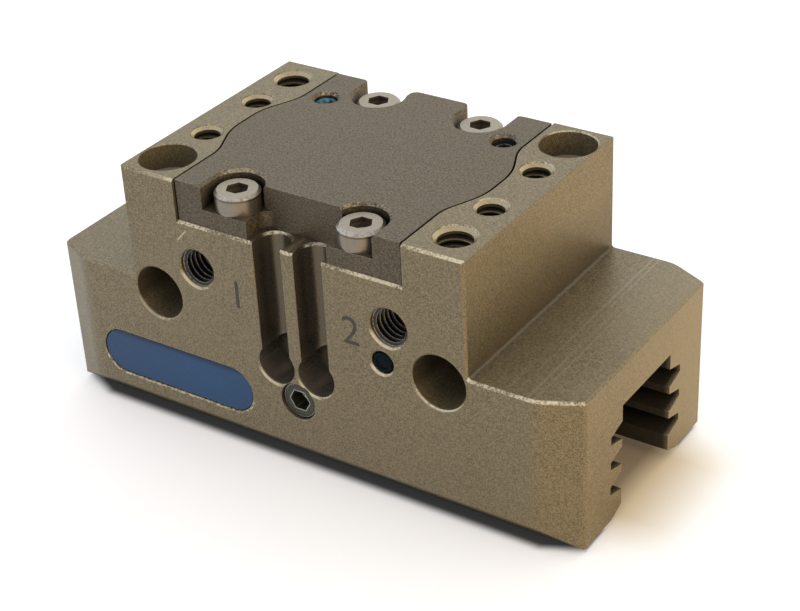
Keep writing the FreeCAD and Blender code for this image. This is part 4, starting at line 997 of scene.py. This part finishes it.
def table_colour(t, across, along, glossy):
    """Nearly white. Seen in reflections only, the floor right of the part turns warmer, a painted
    reflection in the part's right end, and before the channel's right mouth a painted shadow makes the
    table tan, and brown under the mouth."""
    table = mix_colour(t, times(t, glossy, rise(t, across, 22.0, 40.0)), TABLE, TABLE_WARM_REFLECTION)
    mouth = times(t, between(t, along, -9.0, 10.0, 3.0), rise(t, across, 24.0, 30.0))
    table = mix_colour(t, times(t, mouth, fall(t, across, END_X, END_X + 8.5)), table, TABLE_TAN_SHADOW)
    return mix_colour(t, times(t, mouth, fall(t, across, END_X - 3.0, END_X)), table, TABLE_BROWN_SHADOW)


def make_floor():
    """Pale table, white to the camera and in reflections, which keeps the part's shadow, adds a
    painted contact shadow and painted shadow near the channel's mouth, and can't be seen from below."""
    deselect()
    bpy.ops.mesh.primitive_plane_add(size=6.0, location=(0, 0, 0))
    floor = bpy.context.object
    floor.name = "floor"
    material = bpy.data.materials.new("floor_white")
    material.use_nodes = True
    t = material.node_tree
    t.nodes.clear()
    across, along = split(t, add(t, "ShaderNodeTexCoord").outputs["Object"])[:2]
    rays = add(t, "ShaderNodeLightPath").outputs
    unshadowed = floor_out_of_painted_shadow(t, across, along)
    table = table_colour(t, across, along, rays["Is Glossy Ray"])
    matt = add(t, "ShaderNodeBsdfDiffuse")
    # The painted shadow darkens both the floor's colour and its glow.
    wire(t, mix_colour(t, unshadowed, (0.0, 0.0, 0.0), table), matt.inputs["Color"])
    glow = add(t, "ShaderNodeEmission")
    wire(t, table, glow.inputs["Color"])
    seen = largest(t, rays["Is Camera Ray"], rays["Is Glossy Ray"], rays["Is Transmission Ray"])
    wire(t, times(t, seen, unshadowed, FLOOR_GLOW), glow.inputs["Strength"])
    both = add(t, "ShaderNodeAddShader")
    wire(t, matt.outputs[0], both.inputs[0])
    wire(t, glow.outputs[0], both.inputs[1])
    clear = add(t, "ShaderNodeBsdfTransparent")
    under = add(t, "ShaderNodeMixShader")
    wire(t, add(t, "ShaderNodeNewGeometry").outputs["Backfacing"], under.inputs[0])
    wire(t, both.outputs[0], under.inputs[1])
    wire(t, clear.outputs[0], under.inputs[2])
    wire(t, under.outputs[0], add(t, "ShaderNodeOutputMaterial").inputs["Surface"])
    floor.data.materials.append(material)


def soft_light(name, place, aim, size, power, colour):
    """A rectangular lamp, in metres, turned to what it lights."""
    data = bpy.data.lights.new(name, "AREA")
    data.shape = "RECTANGLE"
    data.size, data.size_y = size
    data.energy = power
    data.color = colour
    lamp = bpy.data.objects.new(name, data)
    bpy.context.scene.collection.objects.link(lamp)
    lamp.location = place
    lamp.rotation_euler = (Vector(aim) - Vector(place)).to_track_quat("-Z", "Y").to_euler()


def make_world():
    """A plain white sky for the camera, and for the light a soft room, brighter to some sides."""
    world = bpy.data.worlds.new("studio")
    bpy.context.scene.world = world
    world.use_nodes = True
    t = world.node_tree
    towards = split(t, add(t, "ShaderNodeTexCoord").outputs["Generated"])
    light = add(t, "ShaderNodeRGB").outputs[0]
    light.default_value = (*WORLD_LIGHT, 1.0)
    for axis, sign, colour in WORLD_SIDES:
        extra = add(t, "ShaderNodeMix", data_type="RGBA", blend_type="ADD")
        wire(t, maths(t, "MULTIPLY", towards[axis], sign, clamp=True), extra.inputs[0])
        wire(t, light, extra.inputs[6])
        extra.inputs[7].default_value = (*colour, 1.0)
        light = extra.outputs[2]
    to_camera = add(t, "ShaderNodeLightPath").outputs["Is Camera Ray"]
    wire(t, mix_colour(t, to_camera, light, (1.0, 1.0, 1.0)), t.nodes["Background"].inputs["Color"])


def make_camera():
    """Camera at the photograph's angle."""
    data = bpy.data.cameras.new("camera")
    camera = bpy.data.objects.new("camera", data)
    bpy.context.scene.collection.objects.link(camera)
    data.sensor_width = 36.0
    data.lens = CAMERA_LENS
    data.clip_start = 0.01
    data.clip_end = 20.0
    forward = CAMERA_FORWARD.normalized()
    right = forward.cross(CAMERA_UP).normalized()
    up = right.cross(forward)
    turn = Matrix((right, up, -forward)).transposed().to_4x4()
    camera.matrix_world = Matrix.Translation(CAMERA_PLACE * MM) @ turn
    bpy.context.scene.camera = camera


make_floor()
make_world()
soft_light("warm_right", **WARM_RIGHT)
make_camera()

bpy.context.scene.view_settings.view_transform = "Standard"
